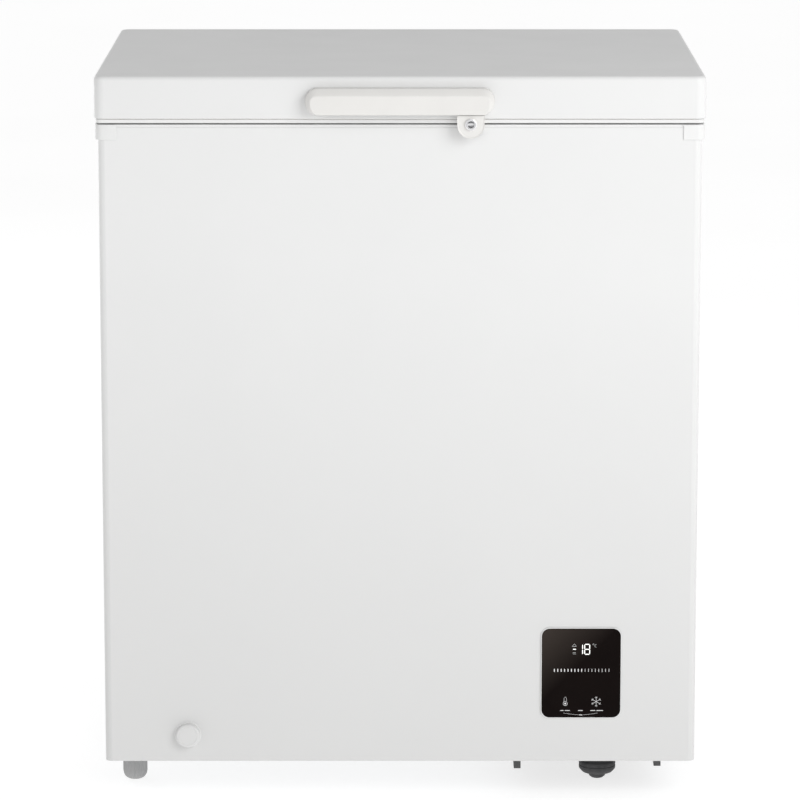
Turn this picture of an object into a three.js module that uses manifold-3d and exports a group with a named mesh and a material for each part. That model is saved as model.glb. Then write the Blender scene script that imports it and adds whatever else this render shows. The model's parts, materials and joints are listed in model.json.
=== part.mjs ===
// Chest freezer: steel cabinet, foamed liner, hinged lid, basket, cooling circuit and controls.
// Millimetres, +Z up, the front faces -Y. The origin is under the middle, on the floor.
import * as THREE from 'three';
import { mergeVertices } from 'three/addons/utils/BufferGeometryUtils.js';
import Module from 'manifold-3d';

const wasm = await Module();
wasm.setup();

// ---------- driving dimensions ----------
const gap = 0.3;                 // clearance between touching pieces
const sheet = 1;                 // sheet metal and liner thickness
const beyond = 1000;             // past every side of the freezer, for cutting tools

const lid = { halfWidth: 351, front: -254.5, back: 261.5, bottom: 805, top: 854, radius: 12, edge: 5, wall: 2 };
const body = { halfWidth: 346.75, front: -250.5, back: 250.5, bottom: 44, top: 798, radius: 8 };
const wrapperTop = 794.7;        // upper edge of the sheet, under the trim strips
const foam = { halfWidth: 339.7, halfDepth: 243.5, bottom: 46, top: 786.5 };
const cavity = { halfWidth: 288.75, halfDepth: 192.5, floor: 105, radius: 25, stepX: 90, stepTop: 300 };
const tubeGap = 8.2;             // space between liner and foam that holds the cold coil
const machine = { left: 135, ceiling: 255 };           // compressor compartment
const trim = { thick: 3, ledge: 790, ledgeEdge: 191.5, shelfEdge: 208, flangeBottom: 780.4, proud: 3.1 };
const linerTop = 786.7;

const hinge = { x: 230, y: 267, z: 800, knuckle: 4.6, pin: 2.4, openDeg: 78 };
const handle = { halfWidth: 108, bottom: 810.6, top: 841.4, front: -272.5, radius: 14 };
const lock = { x: 81, z: 800.3, halfWidth: 15.7, front: -268, barrel: 5.8 };
const panel = { left: 165, right: 259.7, bottom: 96.3, top: 205.8, radius: 10.5, proud: 1.8 };
const drain = { x: -249.4, y: -150, z: 76.4, dial: 14 };
const basket = { left: 57, right: 279, halfDepth: 181, bottom: 580, top: 780, wire: 3 };
const tray = { left: 134.4, right: 308, front: -232, back: 238, top: 42.3, rail: 8.2, drop: 12.5 };
const foot = { x: -317, y: 165, radius: 14.5, height: 43 };
const trayFoot = { x: 236, y: 165, radius: 21.9 };
const compressor = { x: 222, y: 130, radius: 70, bottom: 59.3, top: 214 };

// ---------- materials ----------
const finish = (color, roughness, metalness = 0) => new THREE.MeshStandardMaterial({ color, roughness, metalness });
const whitePaint = finish(0xeeeeee, 0.35);
const whitePlastic = finish(0xe9e8e5, 0.45);
const gripPlastic = finish(0xe6e4e0, 0.5);
const linerMetal = finish(0xd9dcde, 0.3, 0.8);
const foamBeige = finish(0xe3d7a8, 0.9);
const zincSteel = finish(0x9fa3a6, 0.45, 0.9);
const chromeSteel = finish(0xc4c6c8, 0.2, 1);
const copper = finish(0xb8734a, 0.35, 1);
const blackPaint = finish(0x17181a, 0.4, 0.3);
const darkRubber = finish(0x2f2f31, 0.8);
const greyPlastic = finish(0xa6a6a6, 0.6);
const gasketGrey = finish(0xd4d4d2, 0.7);
const blackGlass = finish(0x120d0c, 0.08);
const boardGreen = finish(0x245a35, 0.5);
const wireCoat = finish(0xf0f0f0, 0.4);

// ---------- solids ----------
function toSolid(geometry) {
  const bare = geometry.clone();
  for (const name of ['normal', 'uv']) bare.deleteAttribute(name);
  const merged = mergeVertices(bare, 1e-4);
  return new wasm.Manifold(new wasm.Mesh({
    numProp: 3,
    vertProperties: new Float32Array(merged.attributes.position.array),
    triVerts: new Uint32Array(merged.index.array),
  }));
}

function toGeometry(solid) {
  const mesh = solid.getMesh();
  const geometry = new THREE.BufferGeometry();
  geometry.setAttribute('position', new THREE.BufferAttribute(new Float32Array(mesh.vertProperties), 3));
  geometry.setIndex(new THREE.BufferAttribute(new Uint32Array(mesh.triVerts), 1));
  geometry.computeVertexNormals();
  return geometry;
}

const join = (...parts) => toGeometry(parts.map(toSolid).reduce((sum, part) => sum.add(part)));
const cut = (base, ...tools) => toGeometry(tools.reduce((rest, tool) => rest.subtract(toSolid(tool)), toSolid(base)));
const common = (a, b) => toGeometry(toSolid(a).intersect(toSolid(b)));

// ---------- shapes ----------
const block = (x0, x1, y0, y1, z0, z1) => new THREE.BoxGeometry(x1 - x0, y1 - y0, z1 - z0)
  .translate((x0 + x1) / 2, (y0 + y1) / 2, (z0 + z1) / 2);

const span = (a, b) => [Math.min(a, b), Math.max(a, b)];

const axes = {
  z: [[1, 0, 0], [0, 1, 0], [0, 0, 1]],          // outline in (x, y), drawn along z
  y: [[1, 0, 0], [0, 0, 1], [0, -1, 0]],         // outline in (x, z), drawn along y
  x: [[0, 1, 0], [0, 0, 1], [1, 0, 0]],          // outline in (y, z), drawn along x
};

// A straight prism: an outline, with holes, drawn along an axis between two levels.
function prism(axis, outline, from, to, holes = [], bevel = null) {
  const shape = new THREE.Shape(outline);
  shape.holes = holes.map((points) => new THREE.Path(points));
  const options = { depth: to - from, bevelEnabled: false, curveSegments: 12 };
  if (bevel) Object.assign(options, { bevelEnabled: true, bevelSegments: 3, ...bevel });
  const geometry = new THREE.ExtrudeGeometry(shape, options);
  const basis = new THREE.Matrix4().makeBasis(...axes[axis].map((v) => new THREE.Vector3(...v)));
  const start = new THREE.Vector3().setComponent('xyz'.indexOf(axis), axis === 'y' ? to : from);
  return geometry.applyMatrix4(basis).translate(start.x, start.y, start.z);
}

const point = (x, y) => new THREE.Vector2(x, y);
const outlineOf = (pairs) => pairs.map(([x, y]) => point(x, y));

function arc(cx, cy, r, fromDeg, toDeg, steps) {
  return Array.from({ length: steps + 1 }, (_, i) => {
    const a = THREE.MathUtils.degToRad(fromDeg + (toDeg - fromDeg) * i / steps);
    return point(cx + r * Math.cos(a), cy + r * Math.sin(a));
  });
}

const circle = (cx, cy, r, sides = 16) => arc(cx, cy, r, 0, 360 - 360 / sides, sides - 1);

function roundedRectangle(x0, x1, y0, y1, r, steps = 4) {
  return [
    ...arc(x1 - r, y0 + r, r, -90, 0, steps), ...arc(x1 - r, y1 - r, r, 0, 90, steps),
    ...arc(x0 + r, y1 - r, r, 90, 180, steps), ...arc(x0 + r, y0 + r, r, 180, 270, steps),
  ];
}

// A turned piece: profile of (radius, height) pairs, closed on itself or on the axis, standing along z.
const turned = (profile, segments = 16) => new THREE.LatheGeometry(outlineOf(profile), segments).rotateX(Math.PI / 2);

// The same, pointing forwards along -y from the given centre.
const turnedForward = (profile, x, y, z, segments) => turned(profile, segments).rotateX(Math.PI / 2).translate(x, y, z);

// A path through given points, without smoothing, so that its stations are the points themselves.
class BentPath extends THREE.Curve {
  constructor(points) {
    super();
    this.points = points;
  }

  getPoint(t, target = new THREE.Vector3()) {
    const last = this.points.length - 1;
    const place = THREE.MathUtils.clamp(t, 0, 1) * last;
    const i = Math.min(Math.floor(place), last - 1);
    return target.lerpVectors(this.points[i], this.points[i + 1], place - i);
  }

  getUtoTmapping(u) {
    return u;
  }
}

// Corner points of a pipe route, each corner rounded by a short curve.
function bentRoute(corners, radius, steps = 3) {
  const vectors = corners.map((c) => new THREE.Vector3(...c));
  const route = [vectors[0]];
  for (let i = 1; i < vectors.length - 1; i++) {
    const back = vectors[i - 1].clone().sub(vectors[i]);
    const ahead = vectors[i + 1].clone().sub(vectors[i]);
    const reach = Math.min(radius, back.length() * 0.45, ahead.length() * 0.45);
    const start = vectors[i].clone().addScaledVector(back.normalize(), reach);
    const end = vectors[i].clone().addScaledVector(ahead.normalize(), reach);
    const bend = new THREE.QuadraticBezierCurve3(start, vectors[i], end);
    for (let s = 0; s <= steps; s++) route.push(bend.getPoint(s / steps));
  }
  route.push(vectors[vectors.length - 1]);
  return route;
}

function pipe(route, radius, sides = 6) {
  const section = new THREE.Shape(circle(0, 0, radius, sides));
  return new THREE.ExtrudeGeometry(section, {
    steps: route.length - 1, bevelEnabled: false, extrudePath: new BentPath(route),
  });
}

function named(name, geometry, material) {
  const mesh = new THREE.Mesh(geometry, material);
  mesh.name = name;
  return mesh;
}

// ---------- cabinet shell ----------
// Front and two sides, folded from one painted sheet.
function outerWrapper() {
  const { halfWidth: w, front, back, radius: r } = body;
  const inner = w - sheet;
  const outline = [
    point(-w, back), ...arc(-w + r, front + r, r, 180, 270, 4), ...arc(w - r, front + r, r, -90, 0, 4),
    point(w, back), point(inner, back), ...arc(w - r, front + r, r - sheet, 0, -90, 4),
    ...arc(-w + r, front + r, r - sheet, 270, 180, 4), point(-inner, back),
  ];
  const reach = [front - 1, front + r];
  const panelHole = block(panel.left + 4, panel.right - 4, ...reach, panel.bottom + 4, panel.top - 4);
  const drainHole = prism('y', circle(drain.x, drain.z, 11, 14), ...reach);
  return cut(prism('z', outline, body.bottom, wrapperTop), panelHole, drainHole);
}

function rearPanel() {
  const w = body.halfWidth - sheet - gap;
  const outline = outlineOf([[-w, body.bottom], [w, body.bottom], [w, wrapperTop], [-w, wrapperTop]]);
  const opening = roundedRectangle(160, 325, 60, 236, 6, 2);
  return prism('y', outline, body.back - sheet, body.back, [opening]);
}

function basePlate() {
  const w = body.halfWidth - sheet - gap;
  const front = body.front + sheet + gap;
  const back = body.back - sheet - gap;
  const outline = roundedRectangle(-w, w, front, back, body.radius - sheet, 2);
  const trayOpening = roundedRectangle(141, 302, -205, 229, 8, 2);
  const stemHoles = [-1, 1].map((side) => circle(foot.x, side * foot.y, 5, 10));
  return prism('z', outline, body.bottom + gap, foam.bottom - gap, [trayOpening, ...stemHoles]);
}

function foamInsulation() {
  const { halfWidth: w, halfDepth: d, bottom, top } = foam;
  const hollow = roundedRectangle(-cavity.halfWidth - tubeGap, cavity.halfWidth + tubeGap,
    -cavity.halfDepth - tubeGap, cavity.halfDepth + tubeGap, cavity.radius - 8, 3);
  const floorUnder = cavity.floor - sheet - gap;
  const stepUnder = cavity.stepTop - sheet - gap;
  const storage = cut(prism('z', hollow, floorUnder, top + 1),
    block(cavity.stepX + gap, w + 1, -d, d, 0, stepUnder));
  const drainShaft = prism('z', circle(drain.x, drain.y, 9.5, 12), drain.z - 12, cavity.floor);
  const drainTunnel = prism('y', circle(drain.x, drain.z, 12.5, 12), -d - 1, drain.y + 12);
  const stems = [-1, 1].map((side) => prism('z', circle(foot.x, side * foot.y, 5, 10), 0, 58));
  return cut(prism('z', roundedRectangle(-w, w, -d, d, 14, 2), bottom, top), storage,
    block(machine.left, w + 1, -d - 1, d + 1, bottom - 1, machine.ceiling), drainShaft, drainTunnel, ...stems);
}

function linerOutline(inset) {
  return roundedRectangle(-cavity.halfWidth + inset, cavity.halfWidth - inset,
    -cavity.halfDepth + inset, cavity.halfDepth - inset, cavity.radius - inset, 4);
}

function linerWall() {
  const tube = prism('z', linerOutline(-sheet), cavity.floor - sheet, linerTop, [linerOutline(0)]);
  return cut(tube, block(cavity.stepX - sheet - gap, beyond, -beyond, beyond, 0, cavity.stepTop - sheet));
}

// Floor, riser and the shelf over the compressor compartment, in one pressed sheet.
function linerFloor() {
  const { floor, stepX, stepTop, halfWidth: w } = cavity;
  const section = outlineOf([
    [-w, floor - sheet], [stepX, floor - sheet], [stepX, stepTop - sheet], [w, stepTop - sheet],
    [w, stepTop], [stepX - sheet, stepTop], [stepX - sheet, floor], [-w, floor],
  ]);
  const pressed = common(prism('y', section, -beyond, beyond), prism('z', linerOutline(gap), 0, linerTop));
  return cut(pressed, prism('z', circle(drain.x, drain.y, 7, 12), 0, floor + 1));
}

// Cross-section shared by the trim strips: flat seat for the seal, then a lower ledge for the basket.
function trimSection(outer, shelf, nose) {
  const { thick } = trim;
  const { top } = body;
  return outlineOf([
    [-outer, top - thick], [-outer, top], [-shelf, top], [-shelf + 3, trim.ledge], [-nose, trim.ledge],
    [-nose, trim.ledge - thick], [-shelf + 0.8, trim.ledge - thick], [-shelf - 2.2, top - thick],
  ]);
}

// Room for the strips inside the upper edge of the sheet: folded corners in front, square ones behind.
function seatRoom() {
  const w = body.halfWidth - gap;
  const folded = prism('z', roundedRectangle(-w, w, body.front + gap, beyond, body.radius, 4), 0, beyond);
  return common(folded, block(-w, w, body.front, body.back - gap, 0, beyond));
}

// The strips meet on 45 degree lines that run out through the corners of the cabinet.
const mitreStart = cavity.halfWidth - cavity.halfDepth;

// Front strip, or the rear one after half a turn.
function crossTrim(turn = 0) {
  const reach = mitreStart - gap / 2;
  const cornerCuts = prism('z', outlineOf([
    [-reach, 0], [-reach - beyond, -beyond], [reach + beyond, -beyond], [reach, 0],
  ]), 0, beyond);
  const section = trimSection(-body.front - gap, trim.shelfEdge, trim.ledgeEdge);
  const strip = common(prism('x', section, -body.halfWidth, body.halfWidth), cornerCuts);
  return common(strip.rotateZ(turn), seatRoom());
}

// Left strip with the flange that covers the side sheet, or the right one after half a turn.
function sideTrim(turn = 0) {
  const outer = body.halfWidth + trim.proud;
  const shelf = cavity.halfWidth + trim.shelfEdge - cavity.halfDepth;
  const nose = cavity.halfWidth + trim.ledgeEdge - cavity.halfDepth;
  const flangeInner = body.halfWidth + gap;
  const flangeEnd = 228;
  const start = mitreStart + gap / 2;
  const cornerCuts = prism('z', outlineOf([
    [-start, 0], [-start - beyond, beyond], [-start - beyond, -beyond],
  ]), 0, beyond);
  const strip = common(prism('y', trimSection(outer, shelf, nose), body.front, body.back), cornerCuts);
  const room = join(seatRoom(), block(-outer, outer, -flangeEnd, flangeEnd, 0, beyond));
  const flange = block(-outer, -flangeInner, -flangeEnd, flangeEnd, trim.flangeBottom, body.top - 1);
  return join(common(strip.rotateZ(turn), room), flange.rotateZ(turn));
}

// Cap over the front left top corner; the other three are mirrored outlines.
function cornerCap(sideX, sideY) {
  const corner = sideY < 0 ? body.radius : 0;      // the sheet is folded in front and cut square behind
  const r = corner + gap;
  const cx = body.halfWidth - corner;
  const cy = body.back - corner;
  const outerR = corner + 1.4;
  const outerCx = body.halfWidth + trim.proud - outerR;
  const outline = [
    point(325, cy + outerR), ...arc(outerCx, cy, outerR, 90, 0, 5), point(outerCx + outerR, 228 + gap),
    point(cx + r, 228 + gap), ...arc(cx, cy, r, 0, 90, 5), point(325, cy + r),
  ].map((p) => point(p.x * sideX, p.y * sideY));
  return prism('z', outline, trim.flangeBottom, body.top);
}

function cabinetShell() {
  const group = new THREE.Group();
  group.add(
    named('outer_wrapper', outerWrapper(), whitePaint),
    named('rear_panel', rearPanel(), whitePaint),
    named('base_plate', basePlate(), zincSteel),
    named('foam_insulation', foamInsulation(), foamBeige),
    named('liner_wall', linerWall(), linerMetal),
    named('liner_floor', linerFloor(), linerMetal),
    named('top_trim_front', crossTrim(), whitePlastic),
    named('top_trim_rear', crossTrim(Math.PI), whitePlastic),
    named('top_trim_left', sideTrim(), whitePlastic),
    named('top_trim_right', sideTrim(Math.PI), whitePlastic),
  );
  const corners = { front_left: [-1, -1], front_right: [1, -1], rear_left: [-1, 1], rear_right: [1, 1] };
  for (const [place, signs] of Object.entries(corners)) {
    group.add(named(`corner_cap_${place}`, cornerCap(...signs), whitePlastic));
  }
  return group;
}

// ---------- cooling circuit ----------
// Cold coil: one pipe wound round the liner, rising by one pitch along the back of each turn.
function evaporatorCoil() {
  const radius = 3;
  const x = cavity.halfWidth + sheet + tubeGap / 2 - 0.5;
  const y = cavity.halfDepth + sheet + tubeGap / 2 - 0.5;
  const turns = 6;
  const pitch = 74;
  const firstZ = 345;
  const corners = [[-x + 60, y, firstZ]];
  for (let i = 0; i < turns; i++) {
    const z = firstZ + i * pitch;
    corners.push([-x, y, z], [-x, -y, z], [x, -y, z], [x, y, z]);
    corners.push(i < turns - 1 ? [-x + 60, y, z + pitch] : [x - 60, y, z]);
  }
  return pipe(bentRoute(corners, cavity.radius + 4, 3), radius);
}

// Warm coil: one pipe folded back and forth against the inside of the front and side sheets.
function condenserCoil() {
  const x = (body.halfWidth - sheet + foam.halfWidth) / 2;
  const y = (-body.front - sheet + foam.halfDepth) / 2;
  const end = 225;
  const passes = 6;
  const firstZ = 290;
  const pitch = 90;
  const corners = [];
  for (let i = 0; i < passes; i++) {
    const z = firstZ + i * pitch;
    const pass = [[-x, end, z], [-x, -y, z], [x, -y, z], [x, end, z]];
    corners.push(...(i % 2 ? pass.reverse() : pass));
  }
  return pipe(bentRoute(corners, 9, 2), 2.3);
}

// Welded can, standing on its own bracket.
function compressorShell() {
  const { radius: r, bottom, top } = compressor;
  const can = turned([
    [0, bottom], [r * 0.72, bottom], [r * 0.93, bottom + 14], [r * 0.98, bottom + 62], [r, bottom + 66],
    [r, bottom + 74], [r * 0.98, bottom + 78], [r * 0.92, top - 32], [r * 0.66, top - 9], [0, top],
  ], 20).translate(compressor.x, compressor.y, 0);
  return can;
}

const grommetPlaces = { front_left: [-66, -84], front_right: [66, -84], rear_left: [-66, 84], rear_right: [66, 84] };

function compressorBracket() {
  const { x, y } = compressor;
  const outline = roundedRectangle(x - 80, x + 80, y - 98, y + 98, 12, 2);
  const holes = Object.values(grommetPlaces).map(([dx, dy]) => circle(x + dx, y + dy, 4.5, 10));
  return prism('z', outline, compressor.bottom - 3, compressor.bottom - gap, holes);
}

// Rubber mount with a waist, on a bolt hole.
const grommet = () => turned([
  [4, 0], [11, 0], [11, 4], [8, 6], [8, 8], [11, 10], [11, 13.2], [4, 13.2], [4, 0],
], 12);

// Shallow pressed channel under the compartment, its two long edges folded down.
function compressorTray() {
  const { left, right, front, back, top, rail, drop } = tray;
  const deck = prism('z', roundedRectangle(left, right, front, back, 3, 2), top - 2, top);
  const leftRail = block(left, left + rail, front, back, top - drop, top - 1);
  const rightRail = block(right - rail, right, front, back, top - drop + 3, top - 1);
  return join(deck, leftRail, rightRail);
}

// Moulded foot with a flange, sloping shoulders and a domed sole.
const trayFootShape = () => turned([
  [0, 0], [5, 0.3], [9, 3], [11.5, 8], [17.4, 8], [trayFoot.radius, 13], [trayFoot.radius, 22],
  [19, 25], [19, tray.top - 2 - gap], [0, tray.top - 2 - gap],
], 20);

function terminalCover() {
  const { x, y, radius: r } = compressor;
  return prism('z', roundedRectangle(x - 30, x + 30, y - r - 36, y - r - 1.5, 5, 2), 92, 160);
}

function filterDrier() {
  return turned([[0, -50], [3, -50], [3, -40], [9, -30], [9, 30], [3, 40], [3, 50], [0, 50]], 12)
    .rotateX(Math.PI / 2).translate(321, 120, 132);
}

function coolingCircuit() {
  const group = new THREE.Group();
  const { x, y } = compressor;
  const suction = [[x - 79, y + 30, 120], [x - 79, y + 30, 236], [x - 79, y - 150, 236], [x - 20, y - 190, 236],
    [x - 20, y - 190, 90]];
  const discharge = [[x + 79, y - 60, 100], [x + 79, y - 60, 190], [x + 99, y - 75, 190], [x + 99, y - 75, 132],
    [x + 99, y - 62.5, 132]];
  group.add(
    named('evaporator_coil', evaporatorCoil(), copper),
    named('condenser_coil', condenserCoil(), copper),
    named('compressor_shell', compressorShell(), blackPaint),
    named('compressor_bracket', compressorBracket(), blackPaint),
    named('terminal_cover', terminalCover(), blackPaint),
    named('filter_drier', filterDrier(), copper),
    named('suction_line', pipe(bentRoute(suction, 18), 4, 8), copper),
    named('discharge_line', pipe(bentRoute(discharge, 8), 2.5, 8), copper),
    named('compressor_tray', compressorTray(), blackPaint),
  );
  for (const [place, [dx, dy]] of Object.entries(grommetPlaces)) {
    const mount = named(`grommet_${place}`, grommet(), darkRubber);
    mount.position.set(x + dx, y + dy, tray.top + gap / 2);
    group.add(mount);
  }
  for (const [place, side] of [['front', -1], ['rear', 1]]) {
    const support = named(`tray_foot_${place}`, trayFootShape(), darkRubber);
    support.position.set(trayFoot.x, side * trayFoot.y, 0);
    group.add(support);
  }
  return group;
}

// ---------- rear cover, controls, sensor ----------
function rearCover() {
  const from = body.back + gap;
  const slots = [];
  for (let z = 92; z <= 212; z += 20) {
    slots.push(roundedRectangle(176, 309, z - 4, z + 4, 3.9, 2));
  }
  const gland = circle(186, 70, 8, 12);
  return prism('y', roundedRectangle(150, 335, 56, 246, 8, 3), from, from + 3, [...slots, gland]);
}

const cableGland = () => turned([
  [3.5, -6], [7.6, -6], [7.6, 5.7], [11, 5.7], [11, 9], [6, 16], [3.5, 16], [3.5, -6],
], 12).rotateX(-Math.PI / 2);

function controlHousing() {
  const depth = 32;
  const y = body.front + sheet + gap;
  const box = block(panel.left + 6, panel.right - 6, y, y + depth, panel.bottom + 6, panel.top - 6);
  const hollow = block(panel.left + 8, panel.right - 8, y - 1, y + depth - 2, panel.bottom + 8, panel.top - 8);
  return cut(box, hollow);
}

function controlBoard() {
  const y = body.front + sheet + 12;
  const plate = block(panel.left + 10, panel.right - 10, y, y + 1.6, panel.bottom + 10, panel.top - 10);
  const display = block(-15, 15, -8, 0.5, -9, 9);
  const relay = block(-9, 9, 1, 14, -7, 7);
  const middle = (panel.left + panel.right) / 2;
  return join(plate, display.translate(middle, y, 180), relay.translate(middle - 20, y, 125));
}

function controlFascia() {
  const outline = roundedRectangle(panel.left, panel.right, panel.bottom, panel.top, panel.radius, 5);
  const rear = body.front - gap;
  return prism('y', outline, rear - panel.proud, rear);
}

function controls() {
  const group = new THREE.Group();
  const gland = named('cable_gland', cableGland(), darkRubber);
  gland.position.set(186, body.back - 2, 70);
  const sensor = named('temperature_sensor', turned([[0, -18], [2.4, -16], [2.4, 18], [0, 18]], 10), greyPlastic);
  sensor.rotation.x = Math.PI / 2;
  sensor.position.set(-cavity.halfWidth - sheet - tubeGap / 2 + 0.5, 20, 305);
  group.add(
    named('rear_cover', rearCover(), zincSteel),
    gland,
    named('control_housing', controlHousing(), greyPlastic),
    named('control_board', controlBoard(), boardGreen),
    named('control_fascia', controlFascia(), blackGlass),
    sensor,
  );
  return group;
}

// ---------- drain ----------
// Elbow from the hole in the liner floor to the front of the cabinet.
function drainTube() {
  const { x, y, z } = drain;
  const mouth = body.front + 3;
  const outer = join(prism('z', circle(x, y, 9, 12), z - 8, cavity.floor - sheet - gap),
    prism('y', circle(x, z, 11.8, 14), mouth, y + 10));
  return cut(outer, prism('z', circle(x, y, 6.6, 12), z, cavity.floor + 1),
    prism('y', circle(x, z, 9.8, 14), mouth - 1, y + 7));
}

// Sleeve that slides out of the front; the water leaves through its bore.
const drainSpout = () => turnedForward([
  [6, 0], [9.4, 0], [9.4, 55], [6, 55], [6, 0],
], drain.x, body.front + 54.5, drain.z, 14);

const drainDial = () => turnedForward([
  [0, 0], [drain.dial, 0], [drain.dial, 6], [drain.dial - 1.5, 8], [0, 8.4],
], drain.x, body.front - 0.8, drain.z, 24);

const floorPlug = () => turned([
  [0, -11], [4.6, -11], [5.6, -6], [5.6, gap], [13, gap], [13, 2.6], [11, 3.6], [4, 3.6], [3, 9], [0, 9],
], 14);

// Levelling foot: ribbed cup with a rounded sole, on a threaded stem.
function levellingFoot() {
  const { radius: r, height } = foot;
  const cup = turned([[0, 0], [r * 0.55, 0], [r * 0.9, 3.5], [r, 10], [r, 26], [0, 26]], 24);
  const stem = prism('z', circle(0, 0, 4, 10), 20, height + 11);
  const collar = prism('z', circle(0, 0, 9, 6), 25, height - 6);
  return join(cup, stem, collar);
}

function drainAndFeet() {
  const group = new THREE.Group();
  const plug = named('floor_plug', floorPlug(), greyPlastic);
  plug.position.set(drain.x, drain.y, cavity.floor);
  group.add(
    named('drain_tube', drainTube(), greyPlastic),
    named('drain_spout', drainSpout(), greyPlastic),
    named('drain_dial', drainDial(), whitePlastic),
    plug,
  );
  for (const [place, side] of [['front', -1], ['rear', 1]]) {
    const leveller = named(`levelling_foot_${place}`, levellingFoot(), greyPlastic);
    leveller.position.set(foot.x, side * foot.y, 0);
    group.add(leveller);
  }
  return group;
}

// ---------- hinges ----------
// Channel screwed to the back, with two ears that carry the pin.
function hingeBracket() {
  const rear = body.back + gap;
  const { y, z, knuckle } = hinge;
  const outer = 24;
  const wall = 2;
  const ear = outlineOf([
    [rear, 700], [y + 4, 700], [y + 4, z - 10], ...arc(y, z, knuckle + 0.4, -20, 200, 8).map((p) => [p.x, p.y]),
    [rear, z - 7],
  ]);
  const ears = [-outer, outer - wall].map((x) => prism('x', ear, x, x + wall));
  const plate = block(-outer, outer, rear, rear + 1.5, 690, z - 7);
  const seat = block(-outer, outer, rear, y + 4, 700, 702);
  const shelf = block(-outer, outer, rear, y + 4, z - 24, z - 22);
  return cut(join(plate, ...ears, seat, shelf), prism('x', circle(y, z, hinge.pin + 0.1, 12), -30, 30));
}

// Plate screwed to the lid's back, with two lugs on the pin between the ears.
function hingeLeaf() {
  const { y, z, knuckle } = hinge;
  const front = lid.back + gap;
  const lug = [...arc(y, z, knuckle, -190, 20, 10), point(front + 2, z + 10), point(front, z + 10)];
  const lugs = [-20.5, 17.5].map((x) => prism('x', lug, x, x + 3));
  const plate = block(-20.5, 20.5, front, front + 2, z + 7, z + 46);
  return cut(join(plate, ...lugs), prism('x', circle(y, z, hinge.pin + 0.1, 12), -30, 30));
}

const hingePin = () => prism('x', circle(hinge.y, hinge.z, hinge.pin, 12), -25.5, 25.5);

function hingeSpring() {
  const turns = 6;
  const perTurn = 8;
  const low = 705;
  const high = hinge.z - 27;
  const stations = Array.from({ length: turns * perTurn + 1 }, (_, i) => {
    const a = i / perTurn * 2 * Math.PI;
    return new THREE.Vector3(6 * Math.cos(a), 261 + 6 * Math.sin(a), low + (high - low) * i / turns / perTurn);
  });
  return pipe(stations, 1.3, 5);
}

function hinges(makers) {
  const group = new THREE.Group();
  for (const [place, side] of [['left', -1], ['right', 1]]) {
    for (const [name, make, material] of makers) {
      const mesh = named(`${name}_${place}`, make(), material);
      mesh.position.x = side * hinge.x;
      group.add(mesh);
    }
  }
  return group;
}

// ---------- lid ----------
function lidOuterShell() {
  const { halfWidth: w, front, back, bottom, top, radius, edge, wall } = lid;
  const below = 20;
  const rounded = prism('z', roundedRectangle(-w + edge, w - edge, front + edge, back - edge, radius - edge, 3),
    bottom - below, top - edge, [], { bevelSize: edge, bevelThickness: edge });
  const hollow = prism('z', roundedRectangle(-w + wall, w - wall, front + wall, back - wall, radius - wall, 3),
    bottom - below * 2, top - wall);
  return cut(rounded, hollow, block(-beyond, beyond, -beyond, beyond, bottom - below * 2, bottom));
}

const pan = { halfWidth: 272, halfDepth: 172, bottom: 794.6, skin: 2, radius: 24 };     // raised panel
const lidInner = { inset: 5, bottom: 799.8 };
const seal = { halfWidth: 337, halfDepth: 240.5, width: 18, lip: 803.5 };

const panOutline = (inset) => roundedRectangle(-pan.halfWidth + inset, pan.halfWidth - inset,
  -pan.halfDepth + inset, pan.halfDepth - inset, pan.radius - inset, 4);

function lidFoam() {
  const { halfWidth: w, front, back, bottom, top, radius, wall } = lid;
  const side = wall + gap;
  const slab = prism('z', roundedRectangle(-w + side, w - side, front + side, back - side, radius - side, 3),
    bottom + gap, top - wall - gap);
  const inside = pan.skin + gap;
  return join(slab, prism('z', panOutline(inside), pan.bottom + inside, bottom + 1));
}

function sealRing(clear, from, to) {
  const { halfWidth: w, halfDepth: d, width } = seal;
  const outer = roundedRectangle(-w - clear, w + clear, -d - clear, d + clear, 10, 3);
  const inner = roundedRectangle(-w + width + clear, w - width - clear, -d + width + clear, d - width - clear, 4, 3);
  return prism('z', outer, from, to, [inner]);
}

function lidInnerLiner() {
  const { halfWidth: w, front, back, bottom } = lid;
  const { inset } = lidInner;
  const plate = prism('z', roundedRectangle(-w + inset, w - inset, front + inset, back - inset, 7, 2),
    lidInner.bottom, bottom - gap);
  const dish = prism('z', panOutline(0), pan.bottom, bottom - gap);
  const hollow = prism('z', panOutline(pan.skin), pan.bottom + pan.skin, bottom + 1);
  return cut(join(plate, dish), hollow, sealRing(gap, lidInner.bottom - 1, seal.lip + gap));
}

// Grip: a rounded shell, open underneath for the fingers.
function handleGrip() {
  const { halfWidth: w, bottom, top, front, radius } = handle;
  const soft = 4;
  const rear = lid.front - gap;
  const rounded = prism('y', roundedRectangle(-w + soft, w - soft, bottom + soft, top - soft, radius - soft, 5),
    front + soft, rear + 10, [], { bevelSize: soft, bevelThickness: soft });
  const fingers = block(-w + 9, w - 9, front + 3.2, rear - 2, bottom - 10, top - 8);
  return cut(rounded, fingers, block(-beyond, beyond, rear, beyond, 0, beyond));
}

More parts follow.
